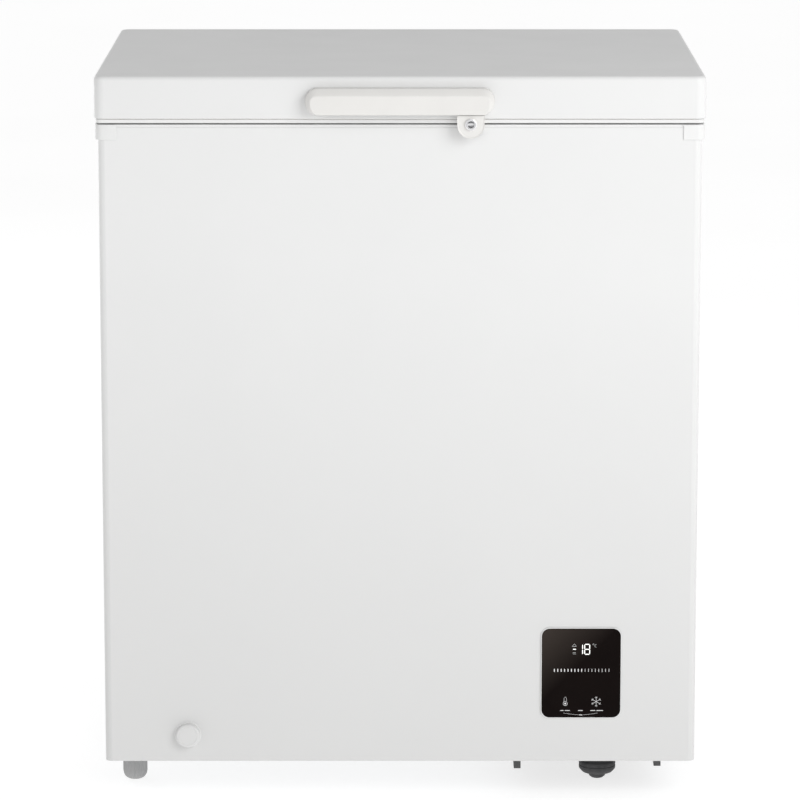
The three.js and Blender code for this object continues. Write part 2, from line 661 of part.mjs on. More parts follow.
// Tongue below the grip that carries the lock and hangs over the front of the cabinet.
function lockHousing() {
  const { x, z, halfWidth: r, front } = lock;
  const top = handle.bottom - gap;
  const back = body.front - 1.1;
  const wall = 2.4;
  const tongue = (r0, upper) => [point(x + r0, upper), point(x - r0, upper), ...arc(x, z - 0.7, r0, 180, 360, 10)];
  const outer = prism('y', tongue(r, top), front, back);
  const inner = prism('y', tongue(r - wall, lid.bottom - 0.5), front + wall, back + 1);
  const lidClearance = block(x - 30, x + 30, lid.front - gap, back + 1, lid.bottom - 0.5, top + 10);
  const keeperWay = block(x + 2, x + r - wall, -260.5, back + 1, z - 30, z);
  return cut(outer, inner, lidClearance, keeperWay, prism('y', circle(x, z, lock.barrel + 0.3, 16), front - 1, back));
}

function lidAssembly() {
  const group = new THREE.Group();
  group.add(
    named('lid_outer_shell', lidOuterShell(), whitePaint),
    named('lid_foam', lidFoam(), foamBeige),
    named('lid_inner_liner', lidInnerLiner(), whitePlastic),
    named('lid_gasket', sealRing(0, body.top + gap, seal.lip), gasketGrey),
    named('handle_grip', handleGrip(), gripPlastic),
    named('lock_housing', lockHousing(), gripPlastic),
  );
  return group;
}

// ---------- lock ----------
function lockBarrel() {
  const { x, z, barrel } = lock;
  const rod = turnedForward([
    [0, 0], [barrel, 0], [barrel, 10.2], [barrel + 0.9, 10.2], [barrel + 0.9, 11.6], [0, 11.6],
  ], x, lock.front + 9.9, z, 16);
  return cut(rod, block(x - 3, x + 3, lock.front - 5, lock.front + 2, z - 0.7, z + 0.7));
}

function lockCam() {
  const { x, z } = lock;
  const y = lock.front + 10.2;
  const arm = 11.5;
  return prism('y', [...arc(x, z, 4, 30, 150, 6), point(x - 2, z - arm), point(x + 2, z - arm)], y, y + 2);
}

// Hooked plate on the cabinet, which the cam turns under.
function lockKeeper() {
  const x0 = lock.x + 6.5;
  const x1 = lock.x + 12;
  const rear = body.front - gap;
  const lip = lock.z + 2.6;
  return join(block(x0, x1, rear - 0.7, rear, lock.z - 15, lip + 1.2), block(x0, x1, -258.4, rear, lip, lip + 1.2));
}

// ---------- basket ----------
// Flat grille of square wires: a slab with rows and columns of openings cut through it.
function grille(low, high, normal, columns, rows) {
  const { wire } = basket;
  const [u, v] = [0, 1, 2].filter((axis) => axis !== normal);
  const stepU = (high[u] - low[u] - wire) / columns;
  const stepV = (high[v] - low[v] - wire) / rows;
  const openings = [];
  for (let i = 0; i < columns; i++) {
    for (let j = 0; j < rows; j++) {
      const from = [...low];
      const to = [...high];
      from[u] += wire + i * stepU;
      to[u] = from[u] + stepU - wire;
      from[v] += wire + j * stepV;
      to[v] = from[v] + stepV - wire;
      from[normal] -= 1;
      to[normal] += 1;
      openings.push(block(from[0], to[0], from[1], to[1], from[2], to[2]));
    }
  }
  return cut(block(low[0], high[0], low[1], high[1], low[2], high[2]), ...openings);
}

// Open wire basket; two end straps hang on the trim ledges.
function basketBody() {
  const { left, right, halfDepth: d, bottom, top, wire } = basket;
  const strap = (side) => {
    const hang = trim.ledge + gap;
    return [
      block(left + 20, right - 20, ...span(side * (d - wire), side * d), top - 20, hang + wire),
      block(left + 20, right - 20, ...span(side * (d - wire), side * (d + 19)), hang, hang + wire),
    ];
  };
  return join(
    grille([left, -d, bottom], [right, -d + wire, top], 1, 4, 1),
    grille([left, d - wire, bottom], [right, d, top], 1, 4, 1),
    grille([left, -d, bottom], [left + wire, d, top], 0, 6, 1),
    grille([right - wire, -d, bottom], [right, d, top], 0, 6, 1),
    grille([left, -d, bottom], [right, d, bottom + wire], 2, 4, 4),
    ...strap(-1), ...strap(1),
  );
}

// ---------- whole freezer ----------
const freezer = new THREE.Group();
freezer.add(
  cabinetShell(),
  coolingCircuit(),
  controls(),
  drainAndFeet(),
  hinges([['hinge_bracket', hingeBracket, zincSteel], ['hinge_spring', hingeSpring, zincSteel],
    ['hinge_pin', hingePin, chromeSteel]]),
  hinges([['hinge_leaf', hingeLeaf, zincSteel]]),
  lidAssembly(),
  named('lock_barrel', lockBarrel(), chromeSteel),
  named('lock_cam', lockCam(), zincSteel),
  named('lock_keeper', lockKeeper(), zincSteel),
  named('basket', basketBody(), wireCoat),
);

export default freezer;
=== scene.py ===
import json
import math

import bmesh
import bpy
from mathutils import Matrix, Vector


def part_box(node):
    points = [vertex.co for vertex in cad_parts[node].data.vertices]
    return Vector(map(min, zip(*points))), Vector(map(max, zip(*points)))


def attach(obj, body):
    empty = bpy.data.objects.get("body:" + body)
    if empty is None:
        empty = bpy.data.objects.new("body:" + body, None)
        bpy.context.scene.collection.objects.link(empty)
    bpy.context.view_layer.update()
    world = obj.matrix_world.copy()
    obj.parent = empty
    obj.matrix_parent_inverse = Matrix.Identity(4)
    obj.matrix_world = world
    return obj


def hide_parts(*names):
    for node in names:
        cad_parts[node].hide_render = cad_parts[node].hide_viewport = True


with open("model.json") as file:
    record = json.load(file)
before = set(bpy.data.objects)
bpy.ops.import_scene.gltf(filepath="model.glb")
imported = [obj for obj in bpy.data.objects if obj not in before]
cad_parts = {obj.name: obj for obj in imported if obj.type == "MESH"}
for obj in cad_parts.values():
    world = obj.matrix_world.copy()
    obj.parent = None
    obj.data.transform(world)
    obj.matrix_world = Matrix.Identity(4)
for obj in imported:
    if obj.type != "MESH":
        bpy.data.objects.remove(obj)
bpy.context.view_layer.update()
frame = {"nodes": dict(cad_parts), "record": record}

mm = 0.001
scene = bpy.context.scene
scene.view_settings.view_transform = "Standard"
slotOf = {part["node"]: part["material_slot"] for part in frame["record"]["subparts"]}

def link(value, socket):
    value.id_data.links.new(value, socket)


def fed(kind, socket, value, settings={}):      # a new node fed through one of its sockets
    node = value.id_data.nodes.new("ShaderNode" + kind)
    link(value, node.inputs[socket])
    for name, number in settings.items():
        node.inputs[name].default_value = number
    return node


# camera and light

view = {"distance": 5.0, "height": 1.436, "pitch": 10.85, "lens": 197.8}
lidLow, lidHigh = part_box("lid_outer_shell")

cameraData = bpy.data.cameras.new("camera")
cameraData.lens = view["lens"]
cameraData.clip_end = 60
cameraObject = bpy.data.objects.new("camera", cameraData)
cameraObject.location = (0, lidLow.y - view["distance"], view["height"])
cameraObject.rotation_euler = (math.radians(90 - view["pitch"]), 0, 0)
scene.collection.objects.link(cameraObject)
scene.camera = cameraObject

softboxes = [   # place, what it faces, size, power
    {"name": "key", "at": (1.75, -2.25, 1.8), "to": (0.1, 0, 0.75), "size": 1.7, "power": 37},
    {"name": "fill", "at": (-2.6, -3.4, 1.5), "to": (0, 0, 0.6), "size": 2.4, "power": 2.4},
    {"name": "back", "at": (-2.4, 2.8, 1.2), "to": (0, 0, 0.4), "size": 2.2, "power": 23},
]
for box in softboxes:
    lamp = bpy.data.lights.new(box["name"], "AREA")
    lamp.shape = "SQUARE"
    lamp.size = box["size"]
    lamp.energy = box["power"]
    lampObject = bpy.data.objects.new(box["name"], lamp)
    lampObject.location = box["at"]
    lampObject.rotation_euler = (Vector(box["to"]) - Vector(box["at"])).to_track_quat("-Z", "Y").to_euler()
    scene.collection.objects.link(lampObject)

skyLevels = [(0.0, 0.9), (0.4, 1.0), (0.52, 1.0), (0.55, 0.65), (1.0, 0.45)]   # height on the sky, brightness
world = bpy.data.worlds.new("studio")
scene.world = world
world.use_nodes = True
skyNodes = world.node_tree.nodes
skyParts = fed("SeparateXYZ", 0, skyNodes.new("ShaderNodeTexCoord").outputs["Generated"])
skyHeight = fed("MapRange", "Value", skyParts.outputs["Z"], {"From Min": -1})
skyRamp = fed("ValToRGB", "Fac", skyHeight.outputs["Result"])
while len(skyRamp.color_ramp.elements) < len(skyLevels):
    skyRamp.color_ramp.elements.new(0.5)
for stop, (height, level) in zip(skyRamp.color_ramp.elements, skyLevels):
    stop.position = height
    stop.color = (level, level, level, 1)
link(skyRamp.outputs["Color"], skyNodes["Background"].inputs["Color"])
print("camera and light are up")

# finishes, all on object coordinates


def startFinish(name, colour, roughness, metal=0.0):
    material = bpy.data.materials.new(name)
    material.use_nodes = True
    shader = material.node_tree.nodes["Principled BSDF"]
    shader.inputs["Base Color"].default_value = (*colour, 1)
    shader.inputs["Roughness"].default_value = roughness
    shader.inputs["Metallic"].default_value = metal
    place = material.node_tree.nodes.new("ShaderNodeTexCoord").outputs["Object"]
    return material, shader, place


def blotches(place, size, detail=3.0, stretch=(1, 1, 1)):    # size of one blotch in metres
    mapping = fed("Mapping", "Vector", place, {"Scale": [part / size for part in stretch]})
    return fed("TexNoise", "Vector", mapping.outputs[0], {"Scale": 1, "Detail": detail}).outputs["Fac"]


def spread(value, low, high, fromLow=0.3, fromHigh=0.7):
    limits = {"From Min": fromLow, "From Max": fromHigh, "To Min": low, "To Max": high}
    return fed("MapRange", "Value", value, limits).outputs["Result"]


def patchy(place, size, detail, low, high):      # blotches that run between two values
    return spread(blotches(place, size, detail), low, high)


def tinted(value, first, second):
    mix = fed("Mix", "Factor", value)
    mix.data_type = "RGBA"
    for socket, colour in (("A", first), ("B", second)):
        target = next(put for put in mix.inputs if put.name == socket and put.type == "RGBA")
        if isinstance(colour, bpy.types.NodeSocket):
            link(colour, target)
        else:
            target.default_value = (*colour, 1)
    return next(out for out in mix.outputs if out.type == "RGBA")


def grain(shader, value, depth, strength=1.0):
    bump = fed("Bump", "Height", value, {"Distance": depth, "Strength": strength})
    before = shader.inputs["Normal"].links
    if before:
        link(before[0].from_socket, bump.inputs["Normal"])
    link(bump.outputs["Normal"], shader.inputs["Normal"])


def setColour(shader, colour):
    link(colour, shader.inputs["Base Color"])


def setRoughness(shader, value):
    link(value, shader.inputs["Roughness"])


def edgeWear(shader, amount):      # bright on convex edges
    pointed = shader.id_data.nodes.new("ShaderNodeNewGeometry").outputs["Pointiness"]
    return spread(pointed, 0, amount, 0.52, 0.6)


def sheetPaint():
    # the darkest tone is painted shade for the lower body
    tone = {"light": (0.772, 0.774, 0.771), "shade": (0.742, 0.744, 0.742), "painted_shade": (0.63, 0.629, 0.624)}
    material, shader, place = startFinish("sheet paint", tone["light"], 0.32)
    colour = tinted(patchy(place, 0.16, 4, 0, 0.45), tone["light"], tone["shade"])
    height = fed("SeparateXYZ", 0, place).outputs["Z"]
    low = spread(height, 0.66, 0.0, 0.04, 0.64)      # painted shade: the paint darkens towards the floor, where the lower body gets less light
    setColour(shader, tinted(low, colour, tone["painted_shade"]))
    setRoughness(shader, patchy(place, 0.06, 5, 0.31, 0.37))
    grain(shader, blotches(place, 0.0022, 2), 0.00005, 0.4)     # orange peel of the paint
    grain(shader, blotches(place, 0.13, 0), 0.0004, 0.2)        # slow waviness of the sheet
    shader.inputs["Specular IOR Level"].default_value = 0.3
    return material


def mouldedPlastic(name, light, shade, roughness, pit=0.0009):
    material, shader, place = startFinish(name, light, roughness)
    setColour(shader, tinted(patchy(place, 0.035, 4, 0, 0.6), light, shade))
    setRoughness(shader, patchy(place, 0.02, 5, roughness - 0.05, roughness + 0.07))
    grain(shader, blotches(place, pit, 2), 0.00005, 0.6)
    return material


def linerSheet():
    material, shader, place = startFinish("embossed liner", (0.8, 0.81, 0.82), 0.42, 0.6)
    warp = fed("Mapping", "Vector", place, {"Rotation": (0.4, 0.3, 0.7)})
    cells = fed("TexVoronoi", "Vector", warp.outputs[0], {"Scale": 210})
    cells.feature = "SMOOTH_F1"
    grain(shader, cells.outputs["Distance"], 0.0006, 0.55)           # stucco embossing
    grain(shader, blotches(place, 0.12, 1), 0.0008, 0.2)
    setColour(shader, tinted(patchy(place, 0.09, 3, 0, 1), (0.82, 0.83, 0.84), (0.74, 0.75, 0.765)))
    setRoughness(shader, patchy(place, 0.03, 3, 0.38, 0.48))
    return material


def zincPlate(name="zinc plate", light=(0.58, 0.6, 0.61), dark=(0.36, 0.38, 0.4), roughness=0.38):
    material, shader, place = startFinish(name, light, roughness, 1.0)
    spangle = fed("TexVoronoi", "Vector", place, {"Scale": 210})
    worn = tinted(spread(spangle.outputs["Distance"], 0, 0.55, 0, 0.9), light, dark)
    setColour(shader, tinted(edgeWear(shader, 0.6), worn, (0.8, 0.81, 0.82)))
    setRoughness(shader, patchy(place, 0.012, 6, roughness - 0.1, roughness + 0.14))
    grain(shader, blotches(place, 0.004, 4, (1, 1, 14)), 0.00008, 0.5)
    return material


def drawnCopper():
    material, shader, place = startFinish("drawn copper", (0.72, 0.36, 0.2), 0.3, 1.0)
    setColour(shader, tinted(patchy(place, 0.03, 6, 0, 1), (0.76, 0.4, 0.24), (0.36, 0.16, 0.09)))
    setRoughness(shader, patchy(place, 0.008, 4, 0.22, 0.5))
    grain(shader, blotches(place, 0.002, 3), 0.00005, 0.4)
    return material


def blackEnamel():
    material, shader, place = startFinish("black enamel", (0.014, 0.014, 0.015), 0.35)
    colour = tinted(patchy(place, 0.05, 5, 0, 1), (0.012, 0.012, 0.013), (0.03, 0.029, 0.028))
    setColour(shader, tinted(edgeWear(shader, 0.35), colour, (0.16, 0.16, 0.16)))
    setRoughness(shader, patchy(place, 0.006, 5, 0.26, 0.5))
    grain(shader, blotches(place, 0.0018, 3), 0.0001, 0.6)
    return material


def mouldedRubber(name, light, dark, roughness):
    material, shader, place = startFinish(name, light, roughness)
    setColour(shader, tinted(patchy(place, 0.012, 6, 0, 1), light, dark))
    setRoughness(shader, patchy(place, 0.005, 4, roughness - 0.08, roughness + 0.1))
    grain(shader, blotches(place, 0.0007, 3), 0.0001, 0.7)
    return material


def rigidFoam():
    material, shader, place = startFinish("rigid foam", (0.78, 0.69, 0.42), 0.85)
    cells = fed("TexVoronoi", "Vector", place, {"Scale": 900})
    grain(shader, cells.outputs["Distance"], 0.0004, 0.8)
    setColour(shader, tinted(patchy(place, 0.04, 5, 0, 1), (0.80, 0.72, 0.46), (0.66, 0.55, 0.3)))
    return material


def panelLens():
    material, shader, place = startFinish("panel lens", (0.004, 0.002, 0.0016), 0.07)
    smoke = tinted(patchy(place, 0.05, 3, 0, 1), (0.003, 0.0012, 0.0009), (0.005, 0.0025, 0.002))
    parts = fed("SeparateXYZ", 0, place)
    lean = fed("Math", 0, parts.outputs["Z"])       # painted reflection: the lens colour is lighter towards one upper corner
    lean.operation = "SUBTRACT"
    link(parts.outputs["X"], lean.inputs[1])
    painted_reflection = spread(lean.outputs[0], 0, 0.9, -0.05, 0.045)
    setColour(shader, tinted(painted_reflection, smoke, (0.05, 0.04, 0.034)))
    setRoughness(shader, patchy(place, 0.012, 5, 0.05, 0.12))     # finger smears
    grain(shader, blotches(place, 0.05, 1), 0.0002, 0.15)
    shader.inputs["Specular IOR Level"].default_value = 0.055
    return material


def litSymbol(name, colour, strength):
    material, shader, place = startFinish(name, colour, 0.4)
    setColour(shader, tinted(patchy(place, 0.004, 2, 0.85, 1.0), [part * 0.7 for part in colour], colour))
    shader.inputs["Emission Color"].default_value = (*colour, 1)
    shader.inputs["Emission Strength"].default_value = strength
    return material


def circuitBoard():
    material, shader, place = startFinish("circuit board", (0.02, 0.12, 0.05), 0.3)
    colours = {"Color1": (0.02, 0.13, 0.05, 1), "Color2": (0.015, 0.09, 0.04, 1), "Mortar": (0.05, 0.25, 0.1, 1)}
    tracks = fed("TexBrick", "Vector", place, {"Scale": 260, **colours})
    setColour(shader, tracks.outputs["Color"])
    grain(shader, tracks.outputs["Fac"], 0.0001, 0.4)
    return material


def studioFloor():
    material, shader, place = startFinish("studio floor", (0.4, 0.4, 0.4), 0.8)
    setColour(shader, tinted(patchy(place, 0.6, 3, 0, 1), (0.41, 0.41, 0.41), (0.39, 0.39, 0.39)))
    shader.inputs["Emission Color"].default_value = (1, 1, 1, 1)
    shader.inputs["Emission Strength"].default_value = 0.74
    return material


finishes = {
    "white_paint": sheetPaint(),
    "white_plastic": mouldedPlastic("white plastic", (0.78, 0.782, 0.778), (0.74, 0.742, 0.738), 0.42),
    "grip_plastic": mouldedPlastic("grip plastic", (0.755, 0.745, 0.725), (0.72, 0.71, 0.69), 0.46, 0.0007),
    "liner_metal": linerSheet(),
    "foam": rigidFoam(),
    "zinc_steel": zincPlate(),
    "bright_steel": zincPlate("bright steel", (0.86, 0.86, 0.87), (0.72, 0.72, 0.74), 0.3),
    "copper_pipe": drawnCopper(),
    "black_paint": blackEnamel(),
    "dark_rubber": mouldedRubber("dark rubber", (0.035, 0.035, 0.037), (0.06, 0.06, 0.062), 0.62),
    "grey_plastic": mouldedPlastic("grey plastic", (0.43, 0.43, 0.43), (0.35, 0.35, 0.355), 0.5),
    "seal": mouldedRubber("seal", (0.8, 0.8, 0.79), (0.73, 0.73, 0.72), 0.6),
    "black_glass": panelLens(),
    "board": circuitBoard(),
    "wire_coat": mouldedPlastic("wire coat", (0.84, 0.842, 0.84), (0.79, 0.79, 0.785), 0.34, 0.0012),
}
symbolGlow = litSymbol("symbol glow", (0.86, 0.87, 0.84), 0.55)
symbolDim = litSymbol("symbol dim", (0.4, 0.41, 0.4), 0.06)
# painted glow: the printed marks get a faint emission though they are no lamp
paintedGlowPrint = litSymbol("symbol print", (0.7, 0.7, 0.7), 0.1)
for node, part in frame["nodes"].items():
    part.data.materials.clear()
    part.data.materials.append(finishes[slotOf[node]])
print("finishes are mixed:", len(finishes))

floorMesh = bmesh.new()
bmesh.ops.create_grid(floorMesh, x_segments=1, y_segments=1, size=30)
floorData = bpy.data.meshes.new("floor")
floorMesh.to_mesh(floorData)
floorMesh.free()
floorData.materials.append(studioFloor())
floorObject = bpy.data.objects.new("floor", floorData)
scene.collection.objects.link(floorObject)

# modelling moves used by the pieces below: sizes, levels and places are in millimetres

turns = {"z": Matrix(), "front": Matrix.Rotation(math.pi / 2, 4, "X"), "back": Matrix.Rotation(-math.pi / 2, 4, "X"),
         "x": Matrix.Rotation(math.pi / 2, 4, "Y")}


def boxOf(node):      # corners and middle of a CAD node, in millimetres
    low, high = (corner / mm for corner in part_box(node))
    return low, high, (low + high) / 2


def vertsIn(made):
    return [one for one in made if isinstance(one, bmesh.types.BMVert)]


def edgesWithin(made, verts):
    return [one for one in made if isinstance(one, bmesh.types.BMEdge) and all(vert in verts for vert in one.verts)]


def pushed(bm, faces, vec):      # faces drawn out along a vector
    made = bmesh.ops.extrude_face_region(bm, geom=faces)["geom"]
    bmesh.ops.translate(bm, vec=vec, verts=vertsIn(made))


def inset(bm, faces, width, even=False):
    bmesh.ops.inset_region(bm, faces=faces, thickness=width * mm, depth=0, use_even_offset=even)


def dropFace(bm, face):          # the face left behind inside after a push
    if face.is_valid:
        bmesh.ops.delete(bm, geom=[face], context="FACES_ONLY")


def bendsOver(bm, degrees):
    limit = math.radians(degrees)
    return [edge for edge in bm.edges if len(edge.link_faces) == 2 and edge.calc_face_angle(0) > limit]


def blockBetween(low, high):
    bm = bmesh.new()
    bmesh.ops.create_cube(bm, size=mm)
    bmesh.ops.scale(bm, vec=high - low, verts=bm.verts)
    bmesh.ops.translate(bm, vec=(low + high) / 2 * mm, verts=bm.verts)
    return bm


def drawnOut(outline, axis, start, end):      # an outline in the two other axes, drawn along this one
    bm = bmesh.new()
    spots = {"x": lambda u, v: (start, u, v), "y": lambda u, v: (u, start, v), "z": lambda u, v: (u, v, start)}
    face = bm.faces.new([bm.verts.new(Vector(spots[axis](u, v)) * mm) for u, v in outline])
    pushed(bm, [face], [(end - start) * mm if name == axis else 0 for name in "xyz"])
    bmesh.ops.recalc_face_normals(bm, faces=bm.faces)
    return bm


def turnedUp(profile, steps, place=(0, 0, 0), toward="z"):     # (radius, height) pairs spun round an axis
    bm = bmesh.new()
    spots = [bm.verts.new((radius * mm, 0, height * mm)) for radius, height in profile]
    edges = [bm.edges.new(pair) for pair in zip(spots, spots[1:])]
    bmesh.ops.spin(bm, geom=spots + edges, cent=(0, 0, 0), axis=(0, 0, 1), dvec=(0, 0, 0),
                   angle=math.tau, steps=steps, use_merge=True)
    bmesh.ops.remove_doubles(bm, verts=bm.verts, dist=1e-6)
    bmesh.ops.recalc_face_normals(bm, faces=bm.faces)
    bmesh.ops.transform(bm, matrix=Matrix.Translation(Vector(place) * mm) @ turns[toward], verts=bm.verts)
    return bm


def roundOver(bm, edges, width, segments):
    bmesh.ops.bevel(bm, geom=list(edges), offset=width * mm, affect="EDGES", segments=segments, profile=0.5,
                    material=-1, clamp_overlap=True)


def merged(node, **limits):      # a merged copy of a CAD node's mesh
    bm = bmesh.new()
    bm.from_mesh(frame["nodes"][node].data)
    bmesh.ops.remove_doubles(bm, verts=bm.verts, dist=2e-6)
    bmesh.ops.dissolve_limit(bm, angle_limit=math.radians(0.5), verts=bm.verts, edges=bm.edges, **limits)
    return bm


def edgesAlong(bm, axis, test=lambda middle: True):
    number = "xyz".index(axis)
    found = []
    for edge in bm.edges:
        first, second = (vert.co for vert in edge.verts)
        if abs((second - first).normalized()[number]) > 0.999 and test((first + second) / 2):
            found.append(edge)
    return found


def edgesAt(bm, axis, level):
    number = "xyz".index(axis)
    return [edge for edge in bm.edges if all(abs(vert.co[number] - level) < 1e-5 for vert in edge.verts)]


def facesToward(bm, direction, limit=0.99):
    bm.normal_update()
    return [face for face in bm.faces if face.normal.dot(Vector(direction)) > limit]


def widest(bm, direction):
    return max(facesToward(bm, direction), key=lambda face: face.calc_area())


def addTo(bm, other):
    carrier = bpy.data.meshes.new("carrier")
    other.to_mesh(carrier)
    other.free()
    bm.from_mesh(carrier)
    bpy.data.meshes.remove(carrier)
    return bm


def arcPoints(centre, radius, start, end, steps):
    angles = [math.radians(start + (end - start) * step / steps) for step in range(steps + 1)]
    return [(centre[0] + radius * math.cos(angle), centre[1] + radius * math.sin(angle)) for angle in angles]


def roundedOutline(left, right, low, high, radius, steps=6):
    corners = [((right - radius, low + radius), -90), ((right - radius, high - radius), 0),
               ((left + radius, high - radius), 90), ((left + radius, low + radius), 180)]
    return [spot for centre, start in corners for spot in arcPoints(centre, radius, start, start + 90, steps)]


def wireAlong(bm, route, radius, sides=8, closed=False):     # a round wire through the points of a route
    spots = [Vector(spot) * mm for spot in route]
    count = len(spots)
    stations = []
    turn = None
    for number, spot in enumerate(spots):
        ahead = spots[(number + 1) % count] if closed or number < count - 1 else spot
        behind = spots[number - 1] if closed or number > 0 else spot
        along = (ahead - behind).normalized()
        if turn is None:
            turn = along.to_track_quat("Z", "Y")
        else:
            turn = (turn @ Vector((0, 0, 1))).rotation_difference(along) @ turn
        stations.append(Matrix.Translation(spot) @ turn.to_matrix().to_4x4())
    ring = bmesh.ops.create_circle(bm, cap_ends=not closed, segments=sides, radius=radius * mm,
                                   matrix=stations[0])
    verts = ring["verts"]
    edges = list({edge for vert in verts for edge in vert.link_edges if edge.other_vert(vert) in verts})
    firstEdges = edges
    for before, after in zip(stations, stations[1:]):
        made = bmesh.ops.extrude_edge_only(bm, edges=edges)["geom"]
        verts = vertsIn(made)
        bmesh.ops.transform(bm, matrix=after @ before.inverted(), verts=verts)
        edges = edgesWithin(made, verts)
    if closed:
        bmesh.ops.bridge_loops(bm, edges=edges + firstEdges)
    else:
        bmesh.ops.contextual_create(bm, geom=edges)


def bentRoute(corners, radius, steps=4, closed=False):       # corner points with each corner rounded
    spots = [Vector(corner) for corner in corners]
    count = len(spots)
    route = []
    for number, spot in enumerate(spots):
        if not closed and number in (0, count - 1):
            route.append(spot)
            continue
        back, ahead = spots[number - 1] - spot, spots[(number + 1) % count] - spot
        reach = min(radius, back.length * 0.48, ahead.length * 0.48)
        start, end = spot + back.normalized() * reach, spot + ahead.normalized() * reach
        for step in range(steps + 1):
            share = step / steps
            route.append(start * (1 - share) ** 2 + spot * 2 * share * (1 - share) + end * share ** 2)
    return route


def terraced(levels, axis="z", steps=6, closed=False, caps=(False, False)):
    # rounded outlines (left, right, low, high, radius, level), each drawn out of the one before
    order = {"y": lambda u, v, level: (u, level, v), "z": lambda u, v, level: (u, v, level)}
    outlines = [[Vector(order[axis](u, v, level[5])) * mm for u, v in roundedOutline(*level[:5], steps)]
                for level in levels]
    bm = bmesh.new()
    verts = [bm.verts.new(spot) for spot in outlines[0]]
    edges = [bm.edges.new(pair) for pair in zip(verts, verts[1:] + verts[:1])]
    firstEdges = edges
    for outline in outlines[1:] + (outlines[:1] if closed else []):
        made = bmesh.ops.extrude_edge_only(bm, edges=edges)["geom"]
        fresh = set(vertsIn(made))
        verts = [next(edge.other_vert(vert) for edge in vert.link_edges if edge.other_vert(vert) in fresh)
                 for vert in verts]
        edges = edgesWithin(made, fresh)
        for vert, spot in zip(verts, outline):
            vert.co = spot
    if closed:
        bmesh.ops.remove_doubles(bm, verts=bm.verts, dist=1e-7)
    for wanted, loop in zip(caps, (firstEdges, edges)):
        if wanted:
            bmesh.ops.contextual_create(bm, geom=loop)
    bmesh.ops.recalc_face_normals(bm, faces=bm.faces)
    return bm


def softened(node, width, segments=2, sharp=38):        # a merged copy with its edges eased
    bm = merged(node, use_dissolve_boundaries=False)
    roundOver(bm, bendsOver(bm, sharp), width, segments)
    return bm


def flatAreas(bm):       # for each face, the area of the flat patch that it lies in
    areas = {}
    for face in bm.faces:
        if face in areas:
            continue
        patch = [face]
        found = {face}
        for one in patch:
            for edge in one.edges:
                if len(edge.link_faces) == 2 and edge.calc_face_angle(0) < 0.005:
                    for other in edge.link_faces:
                        if other not in found:
                            found.add(other)
                            patch.append(other)
        total = sum(one.calc_area() for one in patch)
        areas.update({one: total for one in patch})
    return areas


def putPiece(bm, name, body, slotName, replaced=(), material=None, crease=38):
    bm.normal_update()
    areas = flatAreas(bm)
    for face in bm.faces:
        face.smooth = True
    for edge in bm.edges:
        if len(edge.link_faces) != 2:
            continue
        small, large = sorted(areas[face] for face in edge.link_faces)
        angle = math.degrees(edge.calc_face_angle(0))
        flatSide = large > 20 * small and large > 1e-4 and angle > 0.5      # keeps big flat faces flat
        edge.smooth = angle < crease and not flatSide
    data = bpy.data.meshes.new(name)
    bm.to_mesh(data)
    bm.free()
    data.materials.append(material or finishes[slotName])
    piece = bpy.data.objects.new(name, data)
    scene.collection.objects.link(piece)
    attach(piece, body)
    if replaced:
        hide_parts(*replaced)
    return piece


def putEased(node, name, body, slotName, width, segments=2, sharp=38):      # a CAD node with its edges eased
    putPiece(softened(node, width, segments, sharp), name, body, slotName, [node])


screw = {"high": 0.45, "ease": 0.3, "rim": 0.22, "recess": 0.35}      # shares of the head's radius


def screwInto(bm, place, radius, toward):      # pan head with a crossed recess
    head = bmesh.new()
    bmesh.ops.create_circle(head, cap_ends=True, segments=16, radius=radius * mm)
    top = radius * screw["high"] * mm
    pushed(head, head.faces[:], (0, 0, top))
    bmesh.ops.recalc_face_normals(head, faces=head.faces)
    roundOver(head, edgesAt(head, "z", top), radius * screw["ease"], 3)
    cap = widest(head, (0, 0, 1))
    inset(head, [cap], radius * screw["rim"])
    for number, vert in enumerate(cap.verts):
        reach = 1.0 if number % 4 == 0 else (0.62 if number % 2 else 0.3)
        vert.co.x, vert.co.y = vert.co.x * reach, vert.co.y * reach
    pushed(head, [cap], (0, 0, -radius * screw["recess"] * mm))
    dropFace(head, cap)
    bmesh.ops.transform(head, matrix=Matrix.Translation(Vector(place) * mm) @ turns[toward], verts=head.verts)
    addTo(bm, head)


# lid shell, open underneath

lidShell = {"corner": 12, "edge": 5, "wall": 1.6, "hem": 1.1}


def makeLidShell():
    bm = blockBetween(lidLow / mm, lidHigh / mm)
    roundOver(bm, edgesAlong(bm, "z"), lidShell["corner"], 10)
    roundOver(bm, edgesAt(bm, "z", lidHigh.z), lidShell["edge"], 6)
    roundOver(bm, edgesAt(bm, "z", lidLow.z), lidShell["hem"], 3)
    under = widest(bm, (0, 0, -1))
    inset(bm, [under], lidShell["wall"])
    pushed(bm, [under], (0, 0, lidHigh.z - lidLow.z - 2 * lidShell["wall"] * mm))
    dropFace(bm, under)
    bmesh.ops.recalc_face_normals(bm, faces=bm.faces)
    putPiece(bm, "lid_shell", "lid", "white_paint", ["lid_outer_shell"])


makeLidShell()

# lid lining with its raised panel, and the bellows seal round it

lining = {"rim": 2.9, "plate": 5.2, "groove": 4, "grooveWide": 18.4, "panelX": 272, "panelY": 172, "field": 26}
sealSection = [(0, 5.2), (0, 4.3), (1.5, 3.6), (0.1, 2.5), (0.3, 1.0), (1.4, 0.1), (3, 0), (7.6, 0),
               (8.3, 0.8), (9.7, 0.8), (10.4, 0), (15, 0), (16.6, 0.1), (17.7, 1.0), (17.9, 2.5),
               (16.5, 3.6), (18, 4.3), (18, 5.2)]


def stepIn(low, high, by, radius, level):      # a rounded outline inside a box seen from above
    return low.x + by, high.x - by, low.y + by, high.y - by, radius, level


